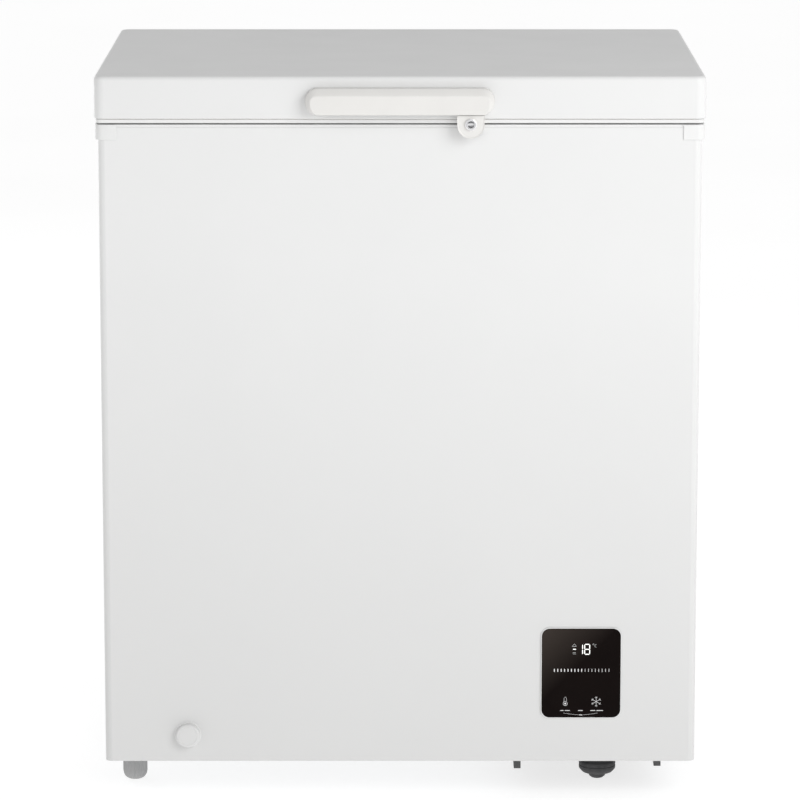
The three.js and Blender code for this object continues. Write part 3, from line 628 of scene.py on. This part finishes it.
def makeLidLining():
    low, high = boxOf("lid_inner_liner")[:2]
    sealLow, sealHigh = boxOf("lid_gasket")[:2]
    panelHigh = Vector((lining["panelX"], lining["panelY"], 0))
    plate, field, rim = low.z + lining["plate"], lining["field"], -lining["rim"]
    roof = plate + lining["groove"]
    levels = [stepIn(low, high, rim + by, radius, level) for by, radius, level in (
        (1.2, 6, high.z), (0, 7, high.z - 1), (0, 7, plate + 1.2), (0.4, 6.6, plate + 0.4), (1.2, 6, plate))]
    levels += [stepIn(sealLow, sealHigh, by, radius, level) for by, radius, level in (
        (-0.4, 10, plate), (-0.4, 10, roof), (lining["grooveWide"], 6, roof), (lining["grooveWide"], 6, plate))]
    levels += [stepIn(-panelHigh, panelHigh, by, radius, level) for by, radius, level in (
        (0, 24, plate), (0.8, 23.2, plate - 0.5), (2.2, 21.8, low.z + 1.6), (3.4, 20.6, low.z + 0.4), (5, 19, low.z),
        (field, 14, low.z), (field + 1, 13.5, low.z + 0.3), (field + 3, 12, low.z + 1.7),
        (field + 4.5, 11, low.z + 2))]
    putPiece(terraced(levels, caps=(True, True)), "lid_lining", "lid", "white_plastic", ["lid_inner_liner"])


def makeSeal():
    low, high = boxOf("lid_gasket")[:2]
    levels = [stepIn(low, high, by, max(10 - by * 0.4, 3), low.z + up) for by, up in sealSection]
    putPiece(terraced(levels, closed=True), "lid_seal", "lid", "seal", ["lid_gasket"])


makeLidLining()
makeSeal()

# front grip: rounded ends, a broad chamfer on top, fingers go in from below

grip = {"corner": 14, "chamferTop": 8.2, "chamferEnd": 5, "chamferDeep": 6, "edge": 0.9, "wall": 3, "pocket": 17,
        "lowSpread": 1.45, "topSpread": 1.4, "ease": 0.8, "easeAngle": 28}


def makeGrip():
    low, high = boxOf("handle_grip")[:2]
    outline = roundedOutline(low.x, high.x, low.z, high.z, grip["corner"], 10)
    bm = drawnOut(outline, "y", high.y, low.y + grip["chamferDeep"])
    face = widest(bm, (0, -1, 0))
    inset(bm, [face], grip["chamferEnd"], True)
    for vert in face.verts:      # the front face reaches lower than the inset put it
        vert.co.y = low.y * mm
        share = (vert.co.z / mm - low.z) / (high.z - low.z)
        if share < 0.5:
            vert.co.z -= (1 - 2 * share) * (grip["chamferEnd"] - grip["edge"]) * grip["lowSpread"] * mm
            vert.co.z = max(vert.co.z, (low.z + grip["edge"]) * mm)
        else:
            vert.co.z -= (2 * share - 1) * (grip["chamferTop"] - grip["chamferEnd"]) * grip["topSpread"] * mm
    under = widest(bm, (0, 0, -1))
    inset(bm, [under], grip["wall"])
    pushed(bm, [under], (0, 0, grip["pocket"] * mm))
    dropFace(bm, under)
    bmesh.ops.recalc_face_normals(bm, faces=bm.faces)
    sharp = [edge for edge in bendsOver(bm, grip["easeAngle"]) if edge.verts[0].co.y < (high.y - 0.2) * mm]
    roundOver(bm, sharp, grip["ease"], 3)
    putPiece(bm, "grip", "lid", "grip_plastic", ["handle_grip"])


makeGrip()

# lock: tongue with a raised rim, chromed barrel, cam behind and hooked keeper

lock = {"x": 81, "z": 800.3, "rim": 1.5, "sunk": 0.7, "key": 4.2, "keySunk": 0.55, "slotEdge": 1.7, "slotDeep": 4,
        "slotX": 1.15, "slotZ": 0.38}


def makeLock():
    bm = softened("lock_housing", 0.25)
    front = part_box("lock_housing")[0].y
    faces = [one for one in facesToward(bm, (0, -1, 0)) if abs(one.calc_center_median().y - front) < 1e-4]
    inset(bm, faces, lock["rim"])
    for face in faces:
        for vert in face.verts:
            vert.co.y = front + lock["sunk"] * mm
    putPiece(bm, "lock_tongue", "lid", "grip_plastic", ["lock_housing"])

    low, high = boxOf("lock_barrel")[:2]
    length = high.y - low.y
    profile = [(0, 0), (5.8, 0), (5.8, length - 1.5), (6.7, length - 1.4), (6.75, length - 0.5), (6.5, length - 0.15),
               (6.0, length), (5.2, length - 0.05), (4.8, length - 0.5), (4.2, length - 0.55)]
    bm = turnedUp(profile, 32, (lock["x"], high.y, lock["z"]), "front")
    core = bmesh.new()      # face of the barrel with the keyway sunk in it
    bmesh.ops.create_circle(core, cap_ends=True, segments=32, radius=lock["key"] * mm)
    cap = core.faces[:][0]
    inset(core, [cap], lock["slotEdge"])
    for vert in cap.verts:
        vert.co.y *= lock["slotZ"]
        vert.co.x *= lock["slotX"]
    pushed(core, [cap], (0, 0, -lock["slotDeep"] * mm))
    dropFace(core, cap)
    bmesh.ops.recalc_face_normals(core, faces=core.faces)
    if sum(face.normal.z for face in core.faces if face.calc_center_median().z > -1e-5) < 0:
        bmesh.ops.reverse_faces(core, faces=core.faces)
    place = Vector((lock["x"], low.y + lock["keySunk"], lock["z"])) * mm
    bmesh.ops.transform(core, matrix=Matrix.Translation(place) @ turns["front"], verts=core.verts)
    addTo(bm, core)
    putPiece(bm, "lock_barrel_face", "lock", "bright_steel", ["lock_barrel"])
    putEased("lock_cam", "lock_cam_plate", "lock", "zinc_steel", 0.3)
    putEased("lock_keeper", "lock_keeper_hook", "cabinet", "zinc_steel", 0.2)


makeLock()
print("lid, grip and lock are made")

# cabinet sheet, trim round the opening, caps over its corners

trim = {"ledgeCorner": 24, "thick": 3, "tuck": 0.28, "edge": 0.4, "capEdge": 0.7}


def makeCabinet():
    bm = softened("outer_wrapper", 0.3)
    top = boxOf("outer_wrapper")[1].z
    for vert in bm.verts:      # the sheet is tucked right up under the strip
        if vert.co.z > (top - 0.05) * mm:
            vert.co.z = (top + trim["tuck"]) * mm
    putPiece(bm, "cabinet_sheet", "cabinet", "white_paint", ["outer_wrapper"])
    for side in ("front", "rear", "left", "right"):
        putEased("top_trim_" + side, "trim_" + side, "cabinet", "white_plastic", trim["edge"], 3)
    low, high = boxOf("top_trim_front")[:2]
    endX, endY = boxOf("top_trim_right")[0].x, -high.y
    centre = (endX - trim["ledgeCorner"], endY - trim["ledgeCorner"])
    for number, (signX, signY) in enumerate(((-1, -1), (1, -1), (-1, 1), (1, 1))):      # rounded corners of the ledge
        curve = arcPoints(centre, trim["ledgeCorner"], 90, 0, 8)
        outline = [(x * signX, y * signY) for x, y in [(endX, endY)] + curve]
        bm = drawnOut(outline, "z", low.z, low.z + trim["thick"])
        putPiece(bm, "ledge_corner_%d" % (number + 1), "cabinet", "white_plastic")
    for corner in ("front_left", "front_right", "rear_left", "rear_right"):
        putEased("corner_cap_" + corner, "cap_" + corner, "cabinet", "white_plastic", trim["capEdge"], 3, 48)


makeCabinet()

# storage space: pressed floor with a step over the machine space, plug in the drain hole

liner = {"bend": 7, "sheet": 0.9, "stepFrom": 0.08}


def keptOfFloor(face):      # the upper faces and the riser of the step
    riser = face.normal.x < -0.99 and face.calc_center_median().x > liner["stepFrom"] and face.calc_area() > 0.01
    return face.normal.z > 0.9 or riser


def makeLiner():
    bm = merged("liner_floor")
    bm.normal_update()
    bmesh.ops.delete(bm, geom=[face for face in bm.faces if not keptOfFloor(face)], context="FACES")
    roundOver(bm, bendsOver(bm, 57), liner["bend"], 5)
    bmesh.ops.solidify(bm, geom=bm.faces[:], thickness=liner["sheet"] * mm)
    putPiece(bm, "liner_pan", "cabinet", "liner_metal", ["liner_floor"])
    putEased("liner_wall", "liner_sides", "cabinet", "liner_metal", 0.2, 1)

    low, high, middle = boxOf("floor_plug")
    profile = [(0, 0), (4.2, 0), (4.8, 0.6), (5.4, 4.5), (5.4, 11.3), (12.2, 11.3), (13, 11.9), (13, 13),
               (12.4, 13.8), (11, 14.5), (4.6, 14.7), (3.6, 15.2), (3, 16.2), (3, 19.2), (2.6, 19.8),
               (1.8, 20), (0, 20)]
    bm = turnedUp(profile, 28, (middle.x, middle.y, low.z))
    putPiece(bm, "drain_plug", "plug", "grey_plastic", ["floor_plug"])


makeLiner()

# wire basket: rim, belts, and hoops running down, under and up

basket = {"rim": 2.4, "belt": 1.7, "hoop": 1.45, "pitch": 27, "corner": 16, "belts": (640, 700), "bend": 14,
          "taper": 6, "hook": 1.5, "hookIn": 20, "hookOut": 19, "hookRise": 13.3, "hookLow": 24, "hookBend": 5}


def makeBasket():
    low, high = boxOf("basket")[:2]
    halfDepth = high.y - basket["hookOut"]
    top = high.z - basket["hookRise"]
    rim, hoop, corner = basket["rim"], basket["hoop"], basket["corner"]
    bm = bmesh.new()

    def wire(points, radius, bend, closed=False, sides=8):
        wireAlong(bm, bentRoute(points, bend, 4, closed), radius, sides, closed)

    upper = top - rim
    belts = [(upper, rim, rim)] + [(level, basket["belt"], 2 * rim + 0.3) for level in basket["belts"]]
    for level, radius, inward in belts:
        left, right, reach = low.x + inward, high.x - inward, halfDepth - inward
        corners = [(left, -reach, level), (right, -reach, level), (right, reach, level), (left, reach, level)]
        wire(corners, radius, corner, True)
    side, lean = rim + hoop + 0.4, basket["taper"]
    hoops = [(low.x, high.x, -halfDepth, halfDepth, low.z + hoop + 0.2, True),
             (-halfDepth, halfDepth, low.x, high.x, low.z + 3 * hoop, False)]
    for start, end, near, far, floor, crosswise in hoops:
        room = end - start - 2 * corner
        count = round(room / basket["pitch"])
        spots = [(near + side, upper), (near + side + lean, floor), (far - side - lean, floor), (far - side, upper)]
        for number in range(count + 1):
            along = start + corner + room * number / count
            wire([(along, across, level) if crosswise else (across, along, level) for across, level in spots],
                 hoop, basket["bend"], sides=6)
    hang, inner, outer = high.z - basket["hook"], halfDepth - rim, high.y - basket["hook"]
    left, right, foot = low.x + basket["hookIn"], high.x - basket["hookIn"], top - basket["hookLow"]
    for way in (-1, 1):
        spots = [(left, inner, foot), (left, inner, hang), (left, outer, hang), (right, outer, hang),
                 (right, inner, hang), (right, inner, foot)]
        wire([(x, way * y, z) for x, y, z in spots], basket["hook"], basket["hookBend"])
    putPiece(bm, "wire_basket", "basket", "wire_coat", ["basket"], crease=60)


makeBasket()
print("cabinet, liner and basket are made")

# control panel: dark lens in a thin pale frame, with a two-figure display and plain symbols

panel = {"corner": 10.5, "frame": 1.1, "thick": 0.16, "figureHigh": 12, "figureWide": 5.8, "figureLow": 174,
         "figureGap": 0.25, "stroke": 1.1, "figures": ((208.1, "bc"), (216.4, "abcdefg"))}
lamps = [((201.6, 183.4), (206.8, 183.4)), ((201.6, 183.4), (204.2, 186.6)), ((206.8, 183.4), (204.2, 186.6)),
         ((202.2, 176), (206.2, 176)), ((202.2, 174.4), (206.2, 174.4))]
degree = {"at": (226.4, 186), "curveAt": (229.4, 184.2), "curve": (1.5, 1.9)}
star = {"at": (230.3, 116.8), "arm": 6.3, "forkAt": 4.2, "fork": 1.9, "lean": 50, "stroke": 0.42, "forkStroke": 0.34}
thermometer = {"at": (194, 114.4), "rings": ([(0, 0), (1.1, 0), (1.1, 0.16), (0, 0.16)],
                                             [(2.3, 0), (2.7, 0), (2.7, 0.16), (2.3, 0.16), (2.3, 0)]),
               "stem": (((192.6, 117), (192.6, 121.4)), ((195.4, 117), (195.4, 121.4)),
                        ((192.9, 122.1), (195.1, 122.1)))}
keyMarks = {"level": 106, "spans": ((188, 192.2), (193.4, 199.6), (209, 214.8), (223.4, 229.4), (230.6, 238.6)),
            "dips": (192, 215), "dipLong": 17, "dipLevel": 103, "dipDeep": 2.2, "between": (209.9, 214.3, 100.7)}
levelScale = {"left": 181, "pitch": 4, "marks": 17, "heavy": 9, "low": 152.6, "high": 156.6}


def flatBar(bm, start, end, width, front):      # a thin bar with pointed ends on the lens
    along = Vector((end[0] - start[0], end[1] - start[1]))
    across = Vector((-along.y, along.x)).normalized() * width / 2
    tip = along.normalized() * width / 2
    first, last = Vector(start), Vector(end)
    outline = [first, first + tip - across, last - tip - across, last, last - tip + across, first + tip + across]
    addTo(bm, drawnOut(outline, "y", front, front - panel["thick"]))


def aimed(spot, angle, reach):      # a spot this far away at this angle
    return spot[0] + reach * math.cos(angle), spot[1] + reach * math.sin(angle)


def makeDisplay(front):
    wide, tall, base = panel["figureWide"], panel["figureHigh"], panel["figureLow"]
    middle, top = base + tall / 2, base + tall
    bright = bmesh.new()
    for left, lit in panel["figures"]:
        right = left + wide
        bars = {"a": ((left, top), (right, top)), "b": ((right, top), (right, middle)),
                "c": ((right, middle), (right, base)), "d": ((left, base), (right, base)),
                "e": ((left, middle), (left, base)), "f": ((left, top), (left, middle)),
                "g": ((left, middle), (right, middle))}
        for name in lit:
            start, end = (Vector(spot) for spot in bars[name])
            step = (end - start).normalized() * panel["figureGap"]
            flatBar(bright, start + step, end - step, panel["stroke"], front)
    flatBar(bright, (202.4, 180), (206.4, 180), panel["stroke"], front)      # minus sign
    putPiece(bright, "display_figures", "cabinet", "black_glass", material=symbolGlow)

    dim = bmesh.new()
    for start, end in lamps:
        flatBar(dim, start, end, 0.5, front)
    ring = [(0.55, 0), (0.95, 0), (0.95, 0.16), (0.55, 0.16), (0.55, 0)]
    addTo(dim, turnedUp(ring, 16, (degree["at"][0], front, degree["at"][1]), "front"))
    (x, z), (wide, high) = degree["curveAt"], degree["curve"]
    for number in range(3):      # open curve of the degree unit
        angles = [math.radians(60 + 80 * number), math.radians(140 + 80 * number)]
        flatBar(dim, *[(x + wide * math.cos(angle), z + high * math.sin(angle)) for angle in angles], 0.45, front)
    putPiece(dim, "display_symbols", "cabinet", "black_glass", material=symbolDim)


def makeMarks(front):
    marks = bmesh.new()
    for number in range(6):      # six-armed frost star
        angle = math.radians(60 * number + 30)
        flatBar(marks, star["at"], aimed(star["at"], angle, star["arm"]), star["stroke"], front)
        fork = aimed(star["at"], angle, star["forkAt"])
        for turn in (-star["lean"], star["lean"]):
            flatBar(marks, fork, aimed(fork, angle + math.radians(turn), star["fork"]), star["forkStroke"], front)
    for start, end in thermometer["stem"]:
        flatBar(marks, start, end, 0.32, front)
    x, z = thermometer["at"]
    for section in thermometer["rings"]:
        addTo(marks, turnedUp(section, 20, (x, front, z), "front"))
    for left, right in keyMarks["spans"]:
        flatBar(marks, (left, keyMarks["level"]), (right, keyMarks["level"]), 0.8, front)
    for begin in keyMarks["dips"]:      # two halves of a shallow dip under the keys
        spots = []
        for step in range(7):
            x = begin + keyMarks["dipLong"] * step / 6
            sag = math.sin(math.pi * (x - keyMarks["dips"][0]) / 40)
            spots.append((x, keyMarks["dipLevel"] - keyMarks["dipDeep"] * sag))
        for start, end in zip(spots, spots[1:]):
            flatBar(marks, start, end, 0.22, front)
    left, right, level = keyMarks["between"]
    flatBar(marks, (left, level), (right, level), 0.8, front)
    for number in range(levelScale["marks"]):      # level scale, heavier on its left half
        x = levelScale["left"] + levelScale["pitch"] * number
        stroke = 1.1 if number < levelScale["heavy"] else 0.55
        flatBar(marks, (x, levelScale["low"]), (x, levelScale["high"]), stroke, front)
    putPiece(marks, "panel_marks", "cabinet", "black_glass", material=paintedGlowPrint)


def makePanel():
    low, high = boxOf("control_fascia")[:2]
    deep, back, top = panel["frame"], high.y, low.y + 0.35

    def ring(by, level):
        return low.x + by, high.x - by, low.z + by, high.z - by, panel["corner"] - by, level

    edge = [ring(0, back), ring(0, top + 0.5), ring(0.25, top + 0.1), ring(0.6, top), ring(deep, top + 0.25),
            ring(deep, back)]
    putPiece(terraced(edge, "y", 10, closed=True), "panel_frame", "cabinet", "white_plastic")
    lens = [ring(deep + 0.05, back), ring(deep + 0.05, low.y + 0.5), ring(deep + 0.25, low.y + 0.15),
            ring(deep + 0.8, low.y)]
    bm = terraced(lens, "y", 10, caps=(True, True))
    putPiece(bm, "panel_lens", "cabinet", "black_glass", ["control_fascia"])
    makeDisplay(low.y - 0.01)
    makeMarks(low.y - 0.01)


makePanel()

# drain: dial with a soft rim, sleeve behind it, collar on the sheet


def makeDrain():
    low, high, middle = boxOf("drain_dial")
    profile = [(0, 0), (13.2, 0), (13.8, 0.5), (14, 1.2), (14, 5.6), (13.8, 6.6), (13.2, 7.4), (12.3, 7.9),
               (11.2, 8.1), (10.9, 7.85), (10.4, 7.85), (10.1, 8.1), (0, 8.4)]
    bm = turnedUp(profile, 64, (middle.x, high.y, middle.z), "front")
    # the knob wears the sheet paint, so it takes that paint's painted shade towards the floor
    putPiece(bm, "drain_knob", "dial", "white_plastic", ["drain_dial"], material=finishes["white_paint"])
    collar = [(10.6, -0.4), (15.2, -0.4), (15.6, -0.2), (15.6, 0.35), (15.1, 0.75), (10.6, 0.75), (10.6, -0.4)]
    bm = turnedUp(collar, 48, (middle.x, high.y + 0.8, middle.z), "front")
    putPiece(bm, "drain_collar", "cabinet", "white_plastic")
    low, high = boxOf("drain_spout")[:2]
    length = high.y - low.y
    sleeve = [(6, 0), (9, 0), (9.4, 0.6), (9.4, 10), (8.9, 10.6), (8.9, 12), (9.4, 12.6), (9.4, length), (6, length),
              (6, 0)]
    bm = turnedUp(sleeve, 32, (middle.x, high.y, middle.z), "front")
    putPiece(bm, "drain_sleeve", "spout", "grey_plastic", ["drain_spout"])


makeDrain()
print("panel and drain are made")

# feet: ribbed cups on threaded stems, moulded feet under the tray

footCup = {"radius": 14.5, "high": 26, "ribs": 20, "ribDeep": 1.2, "ribFrom": 10, "ribStart": 1.5, "nut": 9,
           "nutHigh": 11, "stem": 3.4, "crest": 4, "threadEnd": 53, "thread": 1.25}
trayFoot = [(0, 0), (4, 0.2), (7, 1.2), (9.2, 3), (10.6, 5.4), (11.5, 8), (16.6, 8), (18, 8.6), (21.4, 12.4),
            (21.9, 13.4), (21.9, 16.4), (21.3, 16.9), (21.3, 17.9), (21.9, 18.4), (21.9, 21.4), (21.2, 22.4),
            (19.6, 24.4), (19, 25.6), (19, 40), (0, 40)]


def ribbedCup():
    r, high = footCup["radius"], footCup["high"]
    profile = [(0, 0), (6, 0), (8.6, 0.5), (11, 1.9), (12.8, 4), (14, 7), (r, 10), (r, 11), (r, 24),
               (r - 0.3, high - 0.8), (r - 1.4, high), (9.6, high), (0, high)]
    bm = turnedUp(profile, footCup["ribs"] * 4)
    for vert in bm.verts:
        reach = math.hypot(vert.co.x, vert.co.y) / mm
        turn = math.atan2(vert.co.y, vert.co.x) / math.tau * footCup["ribs"]
        if reach > footCup["ribFrom"] and vert.co.z > footCup["ribStart"] * mm and 0.25 < turn % 1 < 0.85:
            vert.co.x *= 1 - footCup["ribDeep"] / reach
            vert.co.y *= 1 - footCup["ribDeep"] / reach
    return bm


def makeFeet():
    for side in ("front", "rear"):
        low, high, middle = boxOf("levelling_foot_" + side)
        bm = ribbedCup()
        nut = bmesh.new()
        bmesh.ops.create_circle(nut, cap_ends=True, segments=6, radius=footCup["nut"] * mm)
        pushed(nut, nut.faces[:], (0, 0, footCup["nutHigh"] * mm))
        bmesh.ops.recalc_face_normals(nut, faces=nut.faces)
        roundOver(nut, nut.edges[:], 0.7, 2)
        bmesh.ops.translate(nut, vec=(0, 0, footCup["high"] * mm), verts=nut.verts)
        addTo(bm, nut)
        stem, crest = footCup["stem"], footCup["crest"]
        level = footCup["high"] + footCup["nutHigh"]
        thread = [(0, level - 1), (stem, level - 1)]
        while level < footCup["threadEnd"]:
            thread += [(stem, level), (crest, level + 0.4), (stem, level + 0.8)]
            level += footCup["thread"]
        addTo(bm, turnedUp(thread + [(0, high.z)], 14))
        bmesh.ops.translate(bm, vec=(middle.x * mm, middle.y * mm, 0), verts=bm.verts)
        putPiece(bm, "foot_cup_" + side, "foot_" + side, "grey_plastic", ["levelling_foot_" + side])

        low, high, middle = boxOf("tray_foot_" + side)
        profile = [(r, min(h, high.z)) for r, h in trayFoot]
        bm = turnedUp(profile, 40, (middle.x, middle.y, 0))
        putPiece(bm, "tray_stand_" + side, "cabinet", "dark_rubber", ["tray_foot_" + side])


makeFeet()

# back: pressed beads, folded flanges, louvred machine cover, gland, screws

backPanel = {"beads": (-270, -190, -110, 110, 190, 270), "beadWide": 26, "beadLow": 300, "beadHigh": 660,
             "beadSteps": ((0, 0), (1.2, 0.35), (3, 1.2), (4.6, 1.5)), "flange": 17, "flangeOut": 0.9}
cover = {"slots": range(92, 213, 20), "left": 177, "right": 308,
         "louvre": ((-0.3, 5.4), (1.2, 5), (2.7, 3.4), (3.4, 0.6), (2.5, 0.4), (1.9, 2.7), (0.8, 4), (-0.3, 4.3))}
backScrews = {"edge": 338, "levels": (70, 240, 420, 600, 770), "head": 3.6, "coverHead": 3.4,
              "cover": ((158, 64), (327, 64), (158, 238), (327, 238), (158, 151), (327, 151))}
gland = [(3.5, 0), (7.4, 0), (7.6, 0.6), (7.6, 11.7), (10.4, 11.7), (11, 12.3), (11, 14.6), (10.4, 15.3),
         (8.8, 15.8), (8.8, 16.8), (8, 17.2), (8, 18.2), (7.2, 18.6), (7.2, 19.6), (6.4, 20), (6, 21.6),
         (5.4, 22), (3.5, 22), (3.5, 0)]


def makeBack():
    low, high = boxOf("rear_panel")[:2]
    face = high.y
    bm = softened("rear_panel", 0.2, 1)
    half = backPanel["beadWide"] / 2
    for x in backPanel["beads"]:
        levels = [(x - half + by, x + half - by, backPanel["beadLow"] + by, backPanel["beadHigh"] - by,
                   half - by - 0.01, face + out) for by, out in backPanel["beadSteps"]]
        addTo(bm, terraced(levels, "y", 8, caps=(False, True)))
    putPiece(bm, "back_sheet", "cabinet", "white_paint", ["rear_panel"])

    bm = bmesh.new()
    edge, outside = boxOf("outer_wrapper")[1].x, face + backPanel["flangeOut"]
    for side in (-1, 1):
        near, far = sorted((side * (edge - backPanel["flange"]), side * edge))
        strip = blockBetween(Vector((near, face + 0.05, low.z)), Vector((far, outside, high.z)))
        roundOver(strip, edgesAlong(strip, "z"), 0.4, 2)
        addTo(bm, strip)
    putPiece(bm, "back_flanges", "cabinet", "white_paint")

    bm = bmesh.new()
    for side in (-1, 1):
        for level in backScrews["levels"]:
            screwInto(bm, (side * backScrews["edge"], outside, level), backScrews["head"], "back")
    face = boxOf("rear_cover")[1].y
    for x, z in backScrews["cover"]:
        screwInto(bm, (x, face, z), backScrews["coverHead"], "back")
    putPiece(bm, "back_screws", "cabinet", "zinc_steel")

    bm = softened("rear_cover", 0.5)
    for level in cover["slots"]:
        section = [(face + out, level + up) for out, up in cover["louvre"]]
        addTo(bm, drawnOut(section, "x", cover["left"], cover["right"]))
    putPiece(bm, "machine_cover", "cabinet", "zinc_steel", ["rear_cover"])

    low, high, middle = boxOf("cable_gland")
    bm = turnedUp(gland, 32, (middle.x, low.y, middle.z), "back")
    putPiece(bm, "cord_gland", "cabinet", "dark_rubber", ["cable_gland"])


makeBack()

# hinges: pressed channel, leaf on the lid, pin and balance spring

hinge = {"screws": ((-13, 818), (13, 818), (-13, 836), (13, 836)), "screwSunk": 2, "screwHead": 3,
         "coil": 6, "wire": 1.3, "turns": 9, "steps": 14}


def makeHinges():
    for side in ("left", "right"):
        middle = boxOf("hinge_bracket_" + side)[2]
        putEased("hinge_bracket_" + side, "hinge_channel_" + side, "cabinet", "zinc_steel", 0.4)
        back = boxOf("hinge_leaf_" + side)[0].y + hinge["screwSunk"]
        bm = softened("hinge_leaf_" + side, 0.3)
        for x, z in hinge["screws"]:
            screwInto(bm, (middle.x + x, back, z), hinge["screwHead"], "back")
        putPiece(bm, "hinge_plate_" + side, "lid", "zinc_steel", ["hinge_leaf_" + side])

        pinLow, pinHigh, pinMiddle = boxOf("hinge_pin_" + side)
        length = pinHigh.x - pinLow.x
        profile = [(0, 0), (2.0, 0), (2.4, 0.5), (2.4, length - 0.5), (2.0, length), (0, length)]
        bm = turnedUp(profile, 20, (pinLow.x, pinMiddle.y, pinMiddle.z), "x")
        putPiece(bm, "hinge_rod_" + side, "cabinet", "bright_steel", ["hinge_pin_" + side])

        springLow, springHigh, spring = boxOf("hinge_spring_" + side)
        steps = hinge["turns"] * hinge["steps"]
        rise = springHigh.z - springLow.z - 2 * hinge["wire"]
        route = []
        for step in range(steps + 1):
            x, y = aimed((middle.x, spring.y), math.tau * step / hinge["steps"], hinge["coil"])
            route.append((x, y, springLow.z + hinge["wire"] + rise * step / steps))
        bm = bmesh.new()
        wireAlong(bm, route, hinge["wire"])
        putPiece(bm, "balance_spring_" + side, "cabinet", "zinc_steel", ["hinge_spring_" + side], crease=60)


makeHinges()

# machine space: welded can, terminal cover, mounts, tray

mount = [(4, 0), (10.4, 0), (11, 0.6), (11, 3.4), (10.4, 4.2), (8.2, 5.8), (8, 7), (8.2, 8.2), (10.4, 9.8),
         (11, 10.6), (11, 12.6), (10.4, 13.2), (4, 13.2), (4, 0)]


def makeMachine():
    low, high, middle = boxOf("compressor_shell")
    r = (high.x - low.x) / 2
    profile = [(0, 0), (46, 0), (51, 0.8), (58, 5), (62.5, 10), (65, 16), (68, 40), (68.4, 62), (68.6, 66),
               (69.6, 67), (r, 68), (r, 72), (69.4, 73.4), (68.6, 74.4), (68.6, 78), (67.6, 96), (64.6, 122),
               (59, 134), (48, 144), (34, 150), (18, 153.6), (0, high.z - low.z)]
    bm = turnedUp(profile, 64, (middle.x, middle.y, low.z))
    putPiece(bm, "compressor_can", "cabinet", "black_paint", ["compressor_shell"])
    putEased("terminal_cover", "terminal_box", "cabinet", "black_paint", 3, 4)
    putEased("compressor_bracket", "can_bracket", "cabinet", "black_paint", 0.8)
    putEased("compressor_tray", "machine_tray", "cabinet", "black_paint", 0.8, 3)
    for place in ("front_left", "front_right", "rear_left", "rear_right"):
        low, high, middle = boxOf("grommet_" + place)
        bm = turnedUp(mount, 24, (middle.x, middle.y, low.z))
        putPiece(bm, "can_mount_" + place, "cabinet", "dark_rubber", ["grommet_" + place])


makeMachine()
print("feet, back, hinges and machine space are made")
